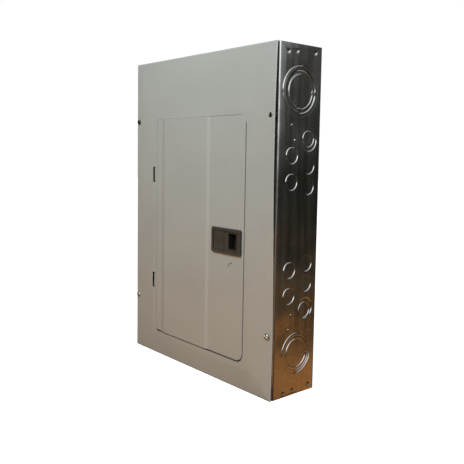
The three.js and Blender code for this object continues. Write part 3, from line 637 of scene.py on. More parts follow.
def wrap_lines(features):
    """The lines along the folds and round the pressed features."""
    lines = []
    for side in (-1, 1):
        for fold in (BACK_FLAT, SIDE_END):
            for step in range(7):
                along = side * (fold + QUARTER * step / 6)
                lines.append([(along, 0), (along, COVER_H)])
        for feature in features:
            for loop in feature.loops():
                lines.append([(side * (SIDE_ZERO - depth), z) for depth, z in loop])
    return lines


def build_box_shell():
    """The wrap: back in the middle, then side, fold and front return each way."""
    features = side_features()

    def place(along, height):
        side = 1 if along >= 0 else -1
        reach = abs(along)
        x, drop = turned_in(reach, BOX_HALF)
        y = BACK_Y - drop
        if reach > SIDE_END:
            x, y = front_part(reach)
        elif reach > SIDE_START:
            x -= side_dent(y, height, features)
        return side * x * MM, y * MM, height * MM

    outline = box_loop((-BLANK_END, 0), (BLANK_END, COVER_H))
    holes = [circle_loop(centre, MOUNT_HOLE_R, 20) for centre in MOUNT_HOLES]
    bm = lifted_sheet(outline, holes, wrap_lines(features), place, flip=True)
    sheet_piece("box_shell", bm, ZINC_SHEET, "box", "enclosure_wrap")


# ---- end walls

END_FLANGE = 16
END_KNOCKOUTS = [  # centre, radius, depth, ties, tie width
    ((0, 0), 38, 0.45, (0, 90, 180, 270), 6),
    ((0, 0), 31.5, 0.0, (45, 225), 6),
    ((0, 0), 25.5, 0.45, (0, 90, 180, 270), 8),
    *(((x, 0), 13.8, 0.45, (180,), 22) for x in (-145, -105, -65, 65, 105, 145)),
]


def end_wall_outline(edge_x, edge_y):
    """The blank's outline: the plate with a flange on each side, cut out at the corners."""
    far_x = edge_x + QUARTER + END_FLANGE
    far_y = edge_y + QUARTER + END_FLANGE
    return [
        (-edge_x, -far_y), (edge_x, -far_y), (edge_x, -edge_y), (far_x, -edge_y),
        (far_x, edge_y), (edge_x, edge_y), (edge_x, far_y), (-edge_x, far_y),
        (-edge_x, edge_y), (-far_x, edge_y), (-far_x, -edge_y), (-edge_x, -edge_y),
    ]


def end_wall_lines(edge_x, edge_y, features):
    """The lines round the knockouts and along the four folds."""
    lines = [loop for feature in features for loop in feature.loops()]
    for side in (-1, 1):
        for step in range(6):
            x = side * (edge_x + QUARTER * step / 5)
            y = side * (edge_y + QUARTER * step / 5)
            lines.append([(x, -edge_y), (x, edge_y)])
            lines.append([(-edge_x, y), (edge_x, y)])
    return lines


def build_end_wall(name, top):
    """A plate with four flanges turned into the box, and a row of knockouts."""
    low, high = node_box(name)
    half_x = high.x / MM
    half_y = (high.y - low.y) / MM / 2
    middle_y = (high.y + low.y) / MM / 2
    face = (high.z if top else low.z) / MM
    inward = -1 if top else 1
    features = [Knockout(*row) for row in END_KNOCKOUTS]

    def place(across, along):
        x, drop_x = turned_in(across, half_x)
        y, drop_y = turned_in(along, half_y)
        drop = drop_x + drop_y + pressed(features, (across, along))
        return x * MM, (middle_y + y) * MM, (face + inward * drop) * MM

    edges = (half_x - FOLD_R, half_y - FOLD_R)
    lines = end_wall_lines(*edges, features)
    bm = lifted_sheet(end_wall_outline(*edges), [], lines, place, flip=not top)
    sheet_piece(name + "_sheet", bm, ZINC_SHEET, "box", name)


# ---- cover

# boxes are left, bottom, right and top, in mm from the cover's lower left corner
CREST = (EDGE_Y - CREST_Y) / MM
CREST_BOX = (57, 35.8, 315.7, 437.6)
CREST_EASE = 0.03  # share of the slope that the bend at the crest takes up
ROLL_W = 2.4  # the cover's edges are rolled back over this width
ROLL_DROP = 0.9
OPENING = (70.5, 43.3, 305.5, 430.5)
CORNER_R = 14
SLOTS = [(57.5, 65.5, centre) for centre in (137.3, 331.2)]  # left, right, middle height
SLOT_H = 28
SLOT_R = 1.5
SCREW_INSET = 8.6
SCREW_HEIGHTS = (99.3, 427.5)
SCREW_HOLE_R = 2.6
LIP_FRONT = 0.3  # mm behind the crest
LIP_DEPTH = 6.0  # the opening's edges are turned in this far
LIP_START = 12  # and from this far to the right of the hinge side
BOW = [  # height, and how far back the free edge of the cover springs
    (0, 0.3), (50, 1.4), (107, 1.9), (160, 1.1), (195, 0.4), (239, -0.8), (283, -2.1),
    (327, -2.9), (371, -3.2), (430, -3.1), (460, -2.6), (503, -1.5), (534, -0.5),
]
BOW_STEPS = 36


def bow(height):
    """The springing of the cover's free edge at a height, in mm."""
    for (low, first), (high, last) in zip(BOW, BOW[1:]):
        if height <= high:
            return first + (last - first) * smoothstep((height - low) / (high - low))
    return BOW[-1][1]


def cover_rise(x, z):
    """How far the cover stands in front of its edges: four slopes up to a flat crest."""
    left, bottom, right, top = CREST_BOX
    across = min(x / left, (COVER_W - x) / (COVER_W - right))
    up = min(z / bottom, (COVER_H - z) / (COVER_H - top))
    return CREST * capped(min(across, up), CREST_EASE)


def cover_place(x, z):
    """A point of the cover, with its edges rolled back and its free edge sprung."""
    right = CREST_BOX[2]
    from_edge = min(x, COVER_W - x, z, COVER_H - z)
    roll = ROLL_DROP * max(0.0, 1 - from_edge / ROLL_W) ** 2
    sprung = bow(z) * max(0.0, (x - right) / (COVER_W - right)) ** 1.5
    return from_left(x), EDGE_Y - (cover_rise(x, z) - roll - sprung) * MM, z * MM


def crest_loop(part):
    """The line round the cover that is a part of the way from its edges to its crest."""
    left, bottom, right, top = CREST_BOX
    high = (COVER_W - (COVER_W - right) * part, COVER_H - (COVER_H - top) * part)
    return box_loop((left * part, bottom * part), high)


def cover_holes():
    """The door opening, the two hinge slots and the four screw holes."""
    holes = [rounded_loop(OPENING[:2], OPENING[2:], 2, CORNER_R + 2)]
    for left, right, centre in SLOTS:
        low, high = (left, centre - SLOT_H / 2), (right, centre + SLOT_H / 2)
        holes.append(rounded_loop(low, high, SLOT_R, SLOT_R, 4))
    for x in (SCREW_INSET, COVER_W - SCREW_INSET):
        for z in SCREW_HEIGHTS:
            holes.append(circle_loop((x, z), SCREW_HOLE_R, 20))
    return holes


def cover_lines():
    """The lines along the crest, the rolled edges, the sprung edge and the corners' mitres."""
    _, bottom, right, top = CREST_BOX
    lines = [crest_loop(1 + CREST_EASE * share) for share in (-1, -0.5, 0, 0.5, 1)]
    for step in range(1, 5):
        inset = ROLL_W * step / 4
        lines.append(box_loop((inset, inset), (COVER_W - inset, COVER_H - inset)))
    for step in range(1, BOW_STEPS):
        z = COVER_H * step / BOW_STEPS
        lines.append([(right, z), (COVER_W, z)])
    lines.append([(right + 16, bottom), (right + 16, top)])
    lines.append([(right + 32, bottom / 3), (right + 32, COVER_H - bottom / 3)])
    corners = box_loop((0, 0), (COVER_W, COVER_H))
    lines.extend([corner, crest] for corner, crest in zip(corners, crest_loop(1 - CREST_EASE)))
    return lines


def build_cover():
    """The painted cover: a shallow pan with its opening, slots and screw holes."""
    holes = cover_holes()
    outline = box_loop((0, 0), (COVER_W, COVER_H))
    bm = lifted_sheet(outline, holes, cover_lines(), cover_place)
    sheet_piece("cover_sheet", bm, PAINT, "box", "trim_cover", 0.25)
    build_cover_lip(holes[0])


def build_cover_lip(opening):
    """The opening's turned-in edge, from the crest back, on the three sides without hinges."""
    start = OPENING[0] + LIP_START
    free_sides = [point for point in opening if point[0] > start]
    steps = 6
    bm = bmesh.new()
    columns = []
    for x, z in [(start, OPENING[1]), *free_sides, (start, OPENING[3])]:
        column = []
        for step in range(steps + 1):
            y = CREST_Y + (LIP_FRONT + LIP_DEPTH * step / steps) * MM
            column.append(bm.verts.new((from_left(x), y, z * MM)))
        columns.append(column)
    join_rows(bm, columns, closed=False)
    piece = add_mesh("cover_lip", bm, PAINT, "box")
    solidify(piece, MM)
    apply_modifiers(piece)
    smooth(piece)


# ---- door

DOOR = (70.8, 45, 303, 430.05)  # left, bottom, right, top
DOOR_BACK = EDGE_Y - 1.6 * MM  # how far back the door's edges are turned
FIELD_STEPS = (87, 97, 215, 219)  # the raised field rises from the first to the second x
FIELD_RISE = 2.5
FIELD_EASE = 0.16  # share of a slope that each of its bends takes up
EDGE_R = 1.6  # the door's edges are rolled back at this radius
TIGHT_R = 0.5  # and at this one along the hinge side and the top
ROLL_STEPS = 4
LOCK = (276.9, 190, 8.6)  # the lock knockout's middle and radius
FIELD_DIMPLE = (241.1, 289.4)
LATCH_Z = (LATCH_LOW.z + LATCH_HIGH.z) / 2 / MM
LATCH_HOLE = (234.5, 297.5)
LATCH_HOLE_HALF = 16
HOOK_AXIS = 68  # the hinge's axis, from the cover's left edge
HOOK_RADII = (3.0 * MM, 4.2 * MM)
HOOK_CURL = 192  # degrees
HOOK_HALF = 12.5


def door_front(x):
    """How far the door's outer face stands in front of the crest, with its bends rounded."""
    a, b, c, d = FIELD_STEPS
    part = (x - a) / (b - a) if x < (b + c) / 2 else (d - x) / (d - c)
    below = 1 - capped(part, FIELD_EASE)
    return FIELD_RISE * (1 - capped(below, FIELD_EASE))


def edge_facing(point):
    """The direction, in the door's plane, that its edge faces at a point."""
    left, bottom, right, top = DOOR
    x, z = (point.x - LEFT_X) / MM, point.z / MM
    radius = CORNER_R if x > (left + right) / 2 else EDGE_R + 1
    core_x = min(max(x, left + EDGE_R + 1), right - CORNER_R)
    core_z = min(max(z, bottom + radius), top - radius)
    return Vector((x - core_x, 0, z - core_z)).normalized()


def edge_radius(normal):
    """The radius the door's edge is rolled at, where it faces along normal."""
    tight = max(0.0, -normal.x) ** 4 + max(0.0, normal.z) ** 4
    return EDGE_R + (TIGHT_R - EDGE_R) * min(1.0, tight)


def inside_latch_hole(point):
    x, z = (point.x - LEFT_X) / MM, point.z / MM
    return LATCH_HOLE[0] - 2 < x < LATCH_HOLE[1] + 2 and abs(z - LATCH_Z) < LATCH_HOLE_HALF + 2


def roll_edge(bm):
    """Turns the door's outer boundary back over a small radius, then straight to its back."""
    boundary = [
        edge for edge in bm.edges
        if edge.is_boundary and not inside_latch_hole(edge.verts[0].co)
    ]
    starts = {}
    for vert in {vert for edge in boundary for vert in edge.verts}:
        starts[vert] = (vert.co.copy(), edge_facing(vert.co))
    for step in range(1, ROLL_STEPS + 2):
        turn = math.radians(90 * min(step, ROLL_STEPS) / ROLL_STEPS)
        made = bmesh.ops.extrude_edge_only(bm, edges=boundary)
        moved = {}
        for vert in made_by(made, bmesh.types.BMVert):
            near = [edge.other_vert(vert) for edge in vert.link_edges]
            start, normal = starts[next(other for other in near if other in starts)]
            radius = edge_radius(normal) * MM
            vert.co = start + normal * (radius * math.sin(turn))
            vert.co.y += radius * (1 - math.cos(turn))
            if step > ROLL_STEPS:
                vert.co.y = DOOR_BACK
            moved[vert] = (start, normal)
        starts = moved
        boundary = made_by(made, bmesh.types.BMEdge)


def door_lines(features):
    """The lines round the pressed features and along the raised field's bends."""
    lines = [loop for feature in features for loop in feature.loops()]
    for first, last in (FIELD_STEPS[:2], FIELD_STEPS[2:]):
        for step in range(-2, 13):
            x = first + (last - first) * step / 10
            lines.append([(x, DOOR[1] + EDGE_R), (x, DOOR[3] - TIGHT_R)])
    return lines


def build_door_sheet():
    """The door: a raised field, the latch's hole, the lock knockout and rolled edges."""
    left, bottom, right, top = DOOR
    low, high = (left + TIGHT_R, bottom + EDGE_R), (right - EDGE_R, top - TIGHT_R)
    outline = rounded_loop(low, high, 1, CORNER_R - EDGE_R)
    latch_hole = latch_rect(*LATCH_HOLE, LATCH_HOLE_HALF, 1, 3)
    features = [
        Knockout(LOCK[:2], LOCK[2], 0.05, (-35,), 40, 1.0, 1.4, [(95, 195)]),
        Button(FIELD_DIMPLE, 1.3, 0.35),
    ]

    def place(x, z):
        y = CREST_Y / MM - door_front(x) + pressed(features, (x, z))
        return from_left(x), y * MM, z * MM

    bm = lifted_sheet(outline, [latch_hole], door_lines(features), place)
    roll_edge(bm)
    sheet_piece("door_sheet", bm, PAINT, "door", "door_panel")


def ring_sector(bm, centre, inner, outer, degrees, z0, z1, steps=20):
    """A closed curl of sheet round an upright axis, from +X by way of the back."""
    rings = []
    for step in range(steps + 1):
        turn = math.radians(degrees * step / steps)
        across = Vector((math.cos(turn), math.sin(turn), 0))
        rings.append([
            bm.verts.new(centre + across * radius + Vector((0, 0, z)))
            for radius, z in ((inner, z0), (outer, z0), (outer, z1), (inner, z1))
        ])
    join_rows(bm, rings)
    bm.faces.new(rings[0])
    bm.faces.new(reversed(rings[-1]))


def build_door_hooks():
    """The two hooks that curl round the cover's edge strips."""
    bm = bmesh.new()
    axis = Vector((from_left(HOOK_AXIS), CREST_Y + SHEET / 2, 0))
    for _, _, centre in SLOTS:
        ends = ((centre - HOOK_HALF) * MM, (centre + HOOK_HALF) * MM)
        ring_sector(bm, axis, *HOOK_RADII, HOOK_CURL, *ends)
    piece = add_mesh("door_hooks", bm, PAINT, "door")
    ease_edges(piece, 0.2)


# ---- solid helpers

def box_piece(name, low, high):
    """A bare box used as a cutter; x and z in mm from the cover's corner, y behind the crest."""
    bm = bmesh.new()
    bmesh.ops.create_cube(bm, size=1)
    for vert in bm.verts:
        share = vert.co + Vector((0.5, 0.5, 0.5))
        x, y, z = (low[axis] + (high[axis] - low[axis]) * share[axis] for axis in range(3))
        vert.co = (from_left(x), CREST_Y + y * MM, z * MM)
    return link_object(name, finished_mesh(name, bm))


def subtract(piece, *cutters):
    """Cuts the pieces away and removes the cutters."""
    for cutter in cutters:
        taken = piece.modifiers.new("cut", "BOOLEAN")
        taken.operation = "DIFFERENCE"
        taken.solver = "EXACT"
        taken.object = cutter
    apply_modifiers(piece)
    for cutter in cutters:
        bpy.data.objects.remove(cutter)


def prism(bm, outline, holes, front, back):
    """A closed plate in X and Z; front and back are mm behind the crest (negative: in front)."""
    def place(x, z):
        return from_left(x), CREST_Y + front * MM, z * MM
    flat = lifted_sheet(outline, holes, [], place)
    made = bmesh.ops.extrude_face_region(flat, geom=flat.faces[:])
    far = made_by(made, bmesh.types.BMVert)
    bmesh.ops.translate(flat, vec=(0, (back - front) * MM, 0), verts=far)
    bmesh.ops.recalc_face_normals(flat, faces=flat.faces[:])
    merge_flats(flat)
    mesh = finished_mesh("flat", flat)
    bm.from_mesh(mesh)
    bpy.data.meshes.remove(mesh)


def merge_flats(bm):
    """Joins neighbouring faces that lie in one plane."""
    bmesh.ops.dissolve_limit(bm, angle_limit=math.radians(1), verts=bm.verts[:], edges=bm.edges[:])


# ---- latch

# mm from the cover's left edge; depths are mm behind the crest
BEZEL = (230, 299.4)
BEZEL_FACE = -3.5
BEZEL_INNER = (234.5, 295)
PAD = (235.3, 259.6)
SLEEVE = (235, 297)
SLEEVE_WALL = 1.5
SLEEVE_DEPTHS = (-2.1, 13)
SLIDE = (258, 293.7)
POCKET = (270, 289)
POCKET_HALF = 12.8
CUP_HALF = 14.0
CUP_WALL = 1.2
CUP_BACK = 12.0
TONGUE_END = 304.7
TONGUE_HALF = 4.5
LATCH_HALF = (LATCH_HIGH.z - LATCH_LOW.z) / 2 / MM


def latch_rect(left, right, half, radius, steps=6):
    """A rectangle about the latch's middle height, with rounded corners."""
    return rounded_loop((left, LATCH_Z - half), (right, LATCH_Z + half), radius, radius, steps)


def moulded(name, material, body, plates, replaces=()):
    """A moulded part of the latch; plates are (outline, holes, front, back)."""
    bm = bmesh.new()
    for plate in plates:
        prism(bm, *plate)
    return add_mesh(name, bm, material, body, replaces)


def build_latch_frame():
    """The bezel with its flat pad, and the sleeve that the slide runs in."""
    low, high = (BEZEL[0], LATCH_Z - LATCH_HALF), (BEZEL[1], LATCH_Z + LATCH_HALF)
    outer = rounded_loop(low, high, 3.2, 2.6)
    window = latch_rect(*BEZEL_INNER, LATCH_HALF - 4.6, 2)
    ring = (outer, [window], BEZEL_FACE, -0.3)
    ease_edges(moulded("latch_frame", CHARCOAL, "door", [ring], ("latch_bezel",)), 0.4)

    plate = (latch_rect(*PAD, LATCH_HALF - 5.6, 1.2), [], -2.9, -2.2)
    ease_edges(moulded("latch_pad", CHARCOAL, "door", [plate]), 0.35)

    left, right = SLEEVE
    outer = latch_rect(left, right, 15.8, 1.5)
    inner = latch_rect(left + SLEEVE_WALL, right - SLEEVE_WALL, 15.8 - SLEEVE_WALL, 1)
    piece = moulded("latch_sleeve", CHARCOAL, "door", [(outer, [inner], *SLEEVE_DEPTHS)])
    reach = TONGUE_HALF + 0.6  # the tongue's way out through the sleeve
    way = box_piece("way", (right - 4, 2, LATCH_Z - reach), (right + 2, 7, LATCH_Z + reach))
    subtract(piece, way)
    smooth(piece)


def build_latch_slide():
    """The slide's face, the cup behind its finger pocket, and the tongue."""
    pocket = latch_rect(*POCKET, POCKET_HALF, 1.2)
    face = (latch_rect(*SLIDE, 13.8, 0.8), [pocket], -1.9, -0.5)
    piece = moulded("latch_slide_face", CHARCOAL, "latch", [face], ("latch_slide",))
    ease_edges(piece, 0.3)

    around = latch_rect(POCKET[0] - CUP_WALL, POCKET[1] + CUP_WALL, CUP_HALF, 1.5)
    wall = (around, [pocket], -0.5, CUP_BACK)
    bottom = (around, [], CUP_BACK - CUP_WALL, CUP_BACK)
    # the cup's near-black plastic is painted shade for the inside of the pocket
    smooth(moulded("latch_cup", POCKET_PAINTED_SHADE, "latch", [wall, bottom]))

    tongue = (latch_rect(POCKET[1] + 1, TONGUE_END, TONGUE_HALF, 0.8), [], 2.5, 6.4)
    ease_edges(moulded("latch_tongue", CHARCOAL, "latch", [tongue]), 0.5)


# ---- screws

HEAD_R = 4.4
DRIVE_DEPTH = 0.9
DRIVE_HALF = 0.65  # half the width of the slot and of the cross
DRIVE_TURN = 28  # degrees that the slot was left turned at
SHANK_R = 2.0
COLLAR_R = 5.4
SCREW_SIDES = 40


def screw_profile(collar):
    """Radius and depth along a screw, in mm; the captive collar begins at a depth."""
    return [
        (0, 0), (HEAD_R * 0.45, 0.05), (HEAD_R * 0.72, 0.28), (HEAD_R * 0.9, 0.75),
        (HEAD_R, 1.5), (HEAD_R, 2.2), (HEAD_R * 0.97, 2.4), (SHANK_R, 2.4),
        (SHANK_R, collar), (COLLAR_R - 0.4, collar), (COLLAR_R, collar + 0.5),
        (COLLAR_R, collar + 3.2), (COLLAR_R - 0.4, collar + 3.7), (SHANK_R, collar + 3.7),
        (SHANK_R, 17), (0, 19),
    ]


def turned(profile, centre, front_y):
    """A solid turned about an axis along Y through a centre."""
    bm = bmesh.new()
    rings = []
    for radius, depth in profile:
        count = SCREW_SIDES if radius else 1
        loop = circle_loop((centre.x, centre.z), radius * MM, count)
        rings.append([bm.verts.new((x, front_y + depth * MM, z)) for x, z in loop])
    join_rows(bm, rings)
    bmesh.ops.recalc_face_normals(bm, faces=bm.faces[:])
    return bm


def cut_drive(piece, centre, front_y):
    """The slot and the cross recess in a screw's head."""
    left = (centre.x - LEFT_X) / MM
    up = centre.z / MM
    front = (front_y - CREST_Y) / MM
    turn = Matrix.Rotation(math.radians(DRIVE_TURN), 4, "Y")
    about_centre = Matrix.Translation(centre) @ turn @ Matrix.Translation(-centre)
    cutters = []
    for name, half_x, half_z, depth in (
        ("slot", HEAD_R + 1, DRIVE_HALF, DRIVE_DEPTH),
        ("cross", DRIVE_HALF, 2.5, DRIVE_DEPTH * 1.5),
    ):
        low = (left - half_x, front - 1, up - half_z)
        high = (left + half_x, front + depth, up + half_z)
        cutter = box_piece(name, low, high)
        cutter.data.transform(about_centre)
        cutters.append(cutter)
    subtract(piece, *cutters)


def build_cover_screw(node):
    """A pan head with a slot and cross recess, and the captive collar behind the cover."""
    low, high = node_box(node)
    centre = (low + high) / 2
    # the upper two screws get the darkened zinc, a painted dark reflection; the lower two get the
    # plain zinc plate
    material = ZINC_PAINTED_DARK_REFLECTION if low.z > HEIGHT / 2 else ZINC_PLATE
    collar = (EDGE_Y - low.y) / MM + 1.5
    bm = turned(screw_profile(collar), centre, low.y)
    piece = add_mesh(node + "_head", bm, material, "box", (node,))
    cut_drive(piece, centre, low.y)
    smooth(piece, 30)


# ---- inner pieces

PITCH = 25.4  # height of a breaker space
SPARE_ROWS = 4
SPARE_TOP = 177.6  # under the last breaker
SPARE_REACH = (5, 51)  # from the middle to a plate's near and far side
SHIELD_FACE = 14.5  # the shield's plate, behind the crest
SCORE_HALF = 0.4
NOTCH_X = (46, 60.5)  # the clearance for the door's hooks
NOTCH_DEPTHS = (-1, 12)
NOTCH_HALF = 17
SKINS = {  # material, and how far the edges are eased, by slot
    "galvanised_steel": (ZINC_SHEET, 0.3),
    "shield_paint": (PAINT, 0.4),
    "zinc_screw": (ZINC_PLATE, 0.2),
    "directory_card": (CARD, 0),
    "bus_insulator": (INSULATOR, 0.5),
    "tinned_aluminium": (TINNED, 0.35),
    "copper_strap": (COPPER, 0.3),
    "black_case": (CASE_BLACK, 0.6),
    "toggle_plastic": (TOGGLE_BLACK, 0.5),
}
BUILT_ABOVE = (  # nodes that have their own function
    "enclosure_wrap", "top_end_wall", "bottom_end_wall", "trim_cover", "door_panel",
    "latch_bezel", "latch_slide", "latch_spring", "cover_screw_1", "cover_screw_2",
    "cover_screw_3", "cover_screw_4",
)


def softened(node, material, width):
    """The CAD node's own shape with its edges eased."""
    source = frame["nodes"][node]
    bm = bmesh.new()
    bm.from_mesh(source.data)
    bmesh.ops.remove_doubles(bm, verts=bm.verts[:], dist=1e-6)
    merge_flats(bm)
    piece = add_mesh(node + "_eased", bm, material, source["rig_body"], (node,))
    ease_edges(piece, width)
    return piece


def notch_shield(piece):
    """Clearance for the door's hooks, cut in the shield's hinge-side flange and wall."""
    cutters = []
    for _, _, centre in SLOTS:
        low = (NOTCH_X[0], NOTCH_DEPTHS[0], centre - NOTCH_HALF)
        high = (NOTCH_X[1], NOTCH_DEPTHS[1], centre + NOTCH_HALF)
        cutters.append(box_piece("notch", low, high))
    subtract(piece, *cutters)
    smooth(piece)


def score_box(x0, x1, z0, z1, depth):
    """A cutter for one scored line in the shield's plate."""
    return box_piece("score", (x0, SHIELD_FACE - 1, z0), (x1, SHIELD_FACE + depth, z1))


def score_shield(piece):
    """The scored outlines of the twist-out plates over the spare breaker spaces."""
    bottom = SPARE_TOP - SPARE_ROWS * PITCH
    cutters = []
    for side in (-1, 1):
        inner, outer = sorted(COVER_W / 2 + side * reach for reach in SPARE_REACH)
        for row in range(1, SPARE_ROWS + 1):
            z = SPARE_TOP - row * PITCH
            cutters.append(score_box(inner, outer, z - SCORE_HALF, z + SCORE_HALF, 0.45))
        for x in (inner, outer):
            cutters.append(score_box(x - SCORE_HALF, x + SCORE_HALF, bottom, SPARE_TOP - 1, 0.5))
    subtract(piece, *cutters)
    smooth(piece)


def build_spring():
    """The latch's return spring, carried with the door."""
    bm = bmesh.new()
    bm.from_mesh(frame["nodes"]["latch_spring"].data)
    name = "latch_return_spring"
    piece = add_mesh(name, bm, SPRING_WIRE, "door", ("latch_spring",))
    smooth(piece, 60)
    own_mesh(piece)


def build_interior():
    """Every remaining node, with its edges eased and its material."""
    for entry in frame["record"]["subparts"]:
        node, slot = entry["node"], entry["material_slot"]
        if node in BUILT_ABOVE:
            continue
        material, width = SKINS[slot]
        if width:
            piece = softened(node, material, width)
        else:
            frame["nodes"][node].data.materials.clear()
            frame["nodes"][node].data.materials.append(material)
        if node == "dead_front":
            notch_shield(piece)
            score_shield(piece)


build_box_shell()
build_end_wall("top_end_wall", True)
build_end_wall("bottom_end_wall", False)
build_cover()
build_door_sheet()
build_door_hooks()
build_latch_frame()
build_latch_slide()
for number in range(1, 5):
    build_cover_screw(f"cover_screw_{number}")
build_interior()
build_spring()


# ---- camera and studio

CAMERA_PLACE = Vector((0.8092, EDGE_Y - 0.6441, 0.3711))
CAMERA_AZIMUTH = 50.2  # degrees from straight in front, towards +X
CAMERA_DIP = 5.0  # degrees below level
CAMERA_ROLL = 0.77
CAMERA_LENS = 47.8
CAMERA_SHIFT = (0.047, -0.0537)  # the object sits off the middle of the picture


def build_camera():
    data = bpy.data.cameras.new("camera")
    data.lens = CAMERA_LENS
    data.sensor_width = 36
    data.shift_x, data.shift_y = CAMERA_SHIFT
    data.clip_start = 0.01
    camera = link_object("camera", data)
    tilt = math.radians(90 - CAMERA_DIP)
    aim = Euler((tilt, 0, math.radians(CAMERA_AZIMUTH)), "XYZ").to_matrix()
    roll = Matrix.Rotation(math.radians(CAMERA_ROLL), 3, "Z")
    camera.matrix_world = Matrix.Translation(CAMERA_PLACE) @ (aim @ roll).to_4x4()
    bpy.context.scene.camera = camera


# the studio's light: colours by height, from straight down at 0 to straight up at 1
ROOM = [  # colours from straight down to straight up
    (0, (0.008, 0.006, 0.004)), (0.3, (0.015, 0.01, 0.006)), (0.385, (0.04, 0.028, 0.016)),
    (0.46, (0.05, 0.045, 0.04)), (0.52, (0.1, 0.105, 0.1)), (0.57, (0.16, 0.165, 0.165)),
    (0.72, (0.15, 0.155, 0.155)), (1, (0.2, 0.205, 0.21)),
]
WINDOW = [  # the bright side of the studio, to the right of the object
    (0, (0.015, 0.01, 0.007)), (0.3, (0.03, 0.02, 0.012)), (0.34, (0.16, 0.085, 0.04)),
    (0.39, (0.24, 0.15, 0.09)), (0.44, (0.13, 0.115, 0.095)), (0.475, (0.22, 0.215, 0.2)),
    (0.52, (0.6, 0.62, 0.61)), (0.56, (2.2, 2.25, 2.22)), (0.7, (1.8, 1.84, 1.84)),
    (1, (1, 1.02, 1.03)),
]
CORNER = [  # the dim corner that the box's side mirrors
    (0, (0.015, 0.012, 0.01)), (0.3, (0.03, 0.02, 0.012)), (0.357, (0.07, 0.04, 0.025)),
    (0.372, (0.03, 0.018, 0.01)), (0.395, (0.12, 0.1, 0.06)), (0.412, (0.03, 0.028, 0.02)),
    (0.44, (0.01, 0.012, 0.009)),
    (0.51, (0.024, 0.028, 0.022)), (0.55, (0.055, 0.058, 0.05)), (0.62, (0.1, 0.105, 0.1)),
    (0.7, (0.4, 0.41, 0.41)), (0.82, (0.7, 0.7, 0.7)),
]
FLOOR = [  # the lit floor low down in that corner
    (0, (0.015, 0.012, 0.01)), (0.27, (0.03, 0.02, 0.012)), (0.305, (0.56, 0.23, 0.07)),
    (0.343, (0.6, 0.255, 0.07)), (0.358, (0.27, 0.13, 0.045)), (0.372, (0.03, 0.018, 0.01)),
    (0.395, (0.13, 0.105, 0.06)), (0.412, (0.04, 0.038, 0.03)), (1, (0.03, 0.03, 0.03)),
]
LOW_DOWN = [(0.4, 1), (0.42, 0)]

# and shares by heading, as a share of a turn with the dim corner's heading at 0.5
DIM_HEADING = 42  # degrees from +Y towards +X, which the box's side mirrors
DIMNESS = [  # share of the dim corner
    (0, 0), (0.28, 0), (0.36, 1), (0.507, 1), (0.52, 0.88), (0.56, 0.72),
    (0.59, 0.5), (0.66, 0), (1, 0),
]
GLOW = [(0.46, 0), (0.475, 1), (0.53, 1), (0.55, 0)]
BRIGHT = [(0.5, 0), (0.501, 1), (0.76, 1), (0.83, 0)]
WORLD_LEVEL = 0.78

KEY_WATTS = 4.05
KEY_COLOUR = (0.845, 0.948, 0.97)
BOUNCE_WATTS = 1.3
BOUNCE_COLOUR = (1.0, 0.43, 0.08)


def heading_share(tree, parts):
    """Heading of a direction, turned so that the dim corner's lies at 0.5 and a turn is 1 long."""
    heading = calculate(tree, "ARCTAN2", parts.outputs["X"], parts.outputs["Y"])
    turned_by = calculate(tree, "SUBTRACT", heading, math.radians(DIM_HEADING))
    share = calculate(tree, "DIVIDE", turned_by, 2 * math.pi)
    return calculate(tree, "FRACT", calculate(tree, "ADD", share, 1.5))


def studio_colour(tree):
    """The light that comes from a direction: bright overhead, one dim corner, a warm floor."""
    direction = add(tree, "ShaderNodeTexCoord").outputs["Generated"]
    parts = add(tree, "ShaderNodeSeparateXYZ", Vector=direction)
    height = calculate(tree, "ADD", calculate(tree, "MULTIPLY", parts.outputs["Z"], 0.5), 0.5)
    heading = heading_share(tree, parts)
    room = ramp(tree, height, ROOM)
    corner = ramp(tree, height, CORNER)
    open_side = mix(tree, ramp(tree, heading, BRIGHT), room, ramp(tree, height, WINDOW))
    lit_floor = mix(tree, ramp(tree, heading, GLOW), corner, ramp(tree, height, FLOOR))
    dim_side = mix(tree, ramp(tree, height, LOW_DOWN), corner, lit_floor)
    return mix(tree, ramp(tree, heading, DIMNESS), open_side, dim_side)


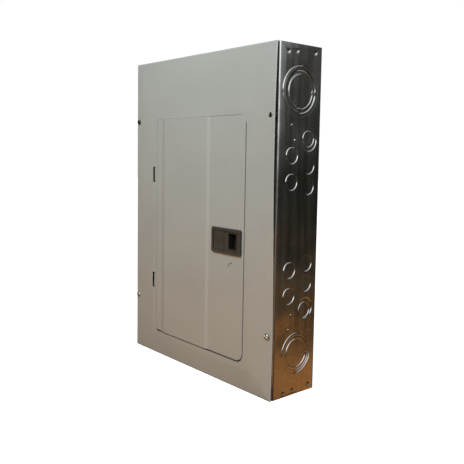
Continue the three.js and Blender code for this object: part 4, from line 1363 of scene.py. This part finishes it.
def build_world():
    """The studio's light, with plain white where the camera sees past the floor."""
    world = bpy.data.worlds.new("studio")
    bpy.context.scene.world = world
    world.use_nodes = True
    tree = world.node_tree
    tree.nodes.clear()
    light = add(tree, "ShaderNodeBackground", Color=studio_colour(tree), Strength=WORLD_LEVEL)
    paper = add(tree, "ShaderNodeBackground", Color=(1, 1, 1, 1), Strength=1.0)
    seen = add(tree, "ShaderNodeLightPath").outputs["Is Camera Ray"]
    choice = tree.nodes.new("ShaderNodeMixShader")
    for socket, output in zip(choice.inputs, (seen, light.outputs[0], paper.outputs[0])):
        tree.links.new(output, socket)
    add(tree, "ShaderNodeOutputWorld", Surface=choice.outputs[0])


def pale_floor():
    material, tree = new_material("pale_floor")
    tone = ramp(tree, noise(tree, coordinates(tree), 3, 3), [(0.3, 0.93), (0.7, 0.96)])
    finish_material(
        tree, Base_Color=tone, Roughness=0.9, Emission_Color=(1, 1, 1, 1), Emission_Strength=0.85
    )
    return material


def build_floor():
    """The pale floor; its light on the object comes from the studio and the bounce lamp instead."""
    bm = bmesh.new()
    bmesh.ops.create_circle(bm, cap_ends=True, radius=8.0, segments=64)
    mesh = finished_mesh("floor", bm)
    mesh.materials.append(pale_floor())
    floor = link_object("floor", mesh)
    floor.location = (0, 0, -0.0005)
    floor.visible_glossy = False
    floor.visible_diffuse = False


def build_lamp(name, place, target, size, energy, colour, spread=180):
    """A rectangular lamp at a place, turned to a target; its spread is in degrees."""
    data = bpy.data.lights.new(name, "AREA")
    data.spread = math.radians(spread)
    data.shape = "RECTANGLE"
    data.size, data.size_y = size
    data.energy = energy
    data.color = colour
    lamp = link_object(name, data)
    lamp.location = place
    lamp.rotation_euler = (Vector(target) - Vector(place)).to_track_quat("-Z", "Y").to_euler()
    lamp.visible_camera = False


def build_lamps():
    """A cool soft lamp above the front, and a warm one just above the floor before the object."""
    above, before = (0.12, -1.0, 1.15), (0.0, -0.5, 0.02)
    build_lamp("key", above, (0.05, 0, 0.55), (0.6, 0.5), KEY_WATTS, KEY_COLOUR, 90)
    build_lamp("floor_bounce", before, (0, -0.2, 0.3), (1.0, 0.4), BOUNCE_WATTS, BOUNCE_COLOUR)


build_camera()
build_world()
build_floor()
build_lamps()
bpy.context.scene.view_settings.view_transform = "Standard"
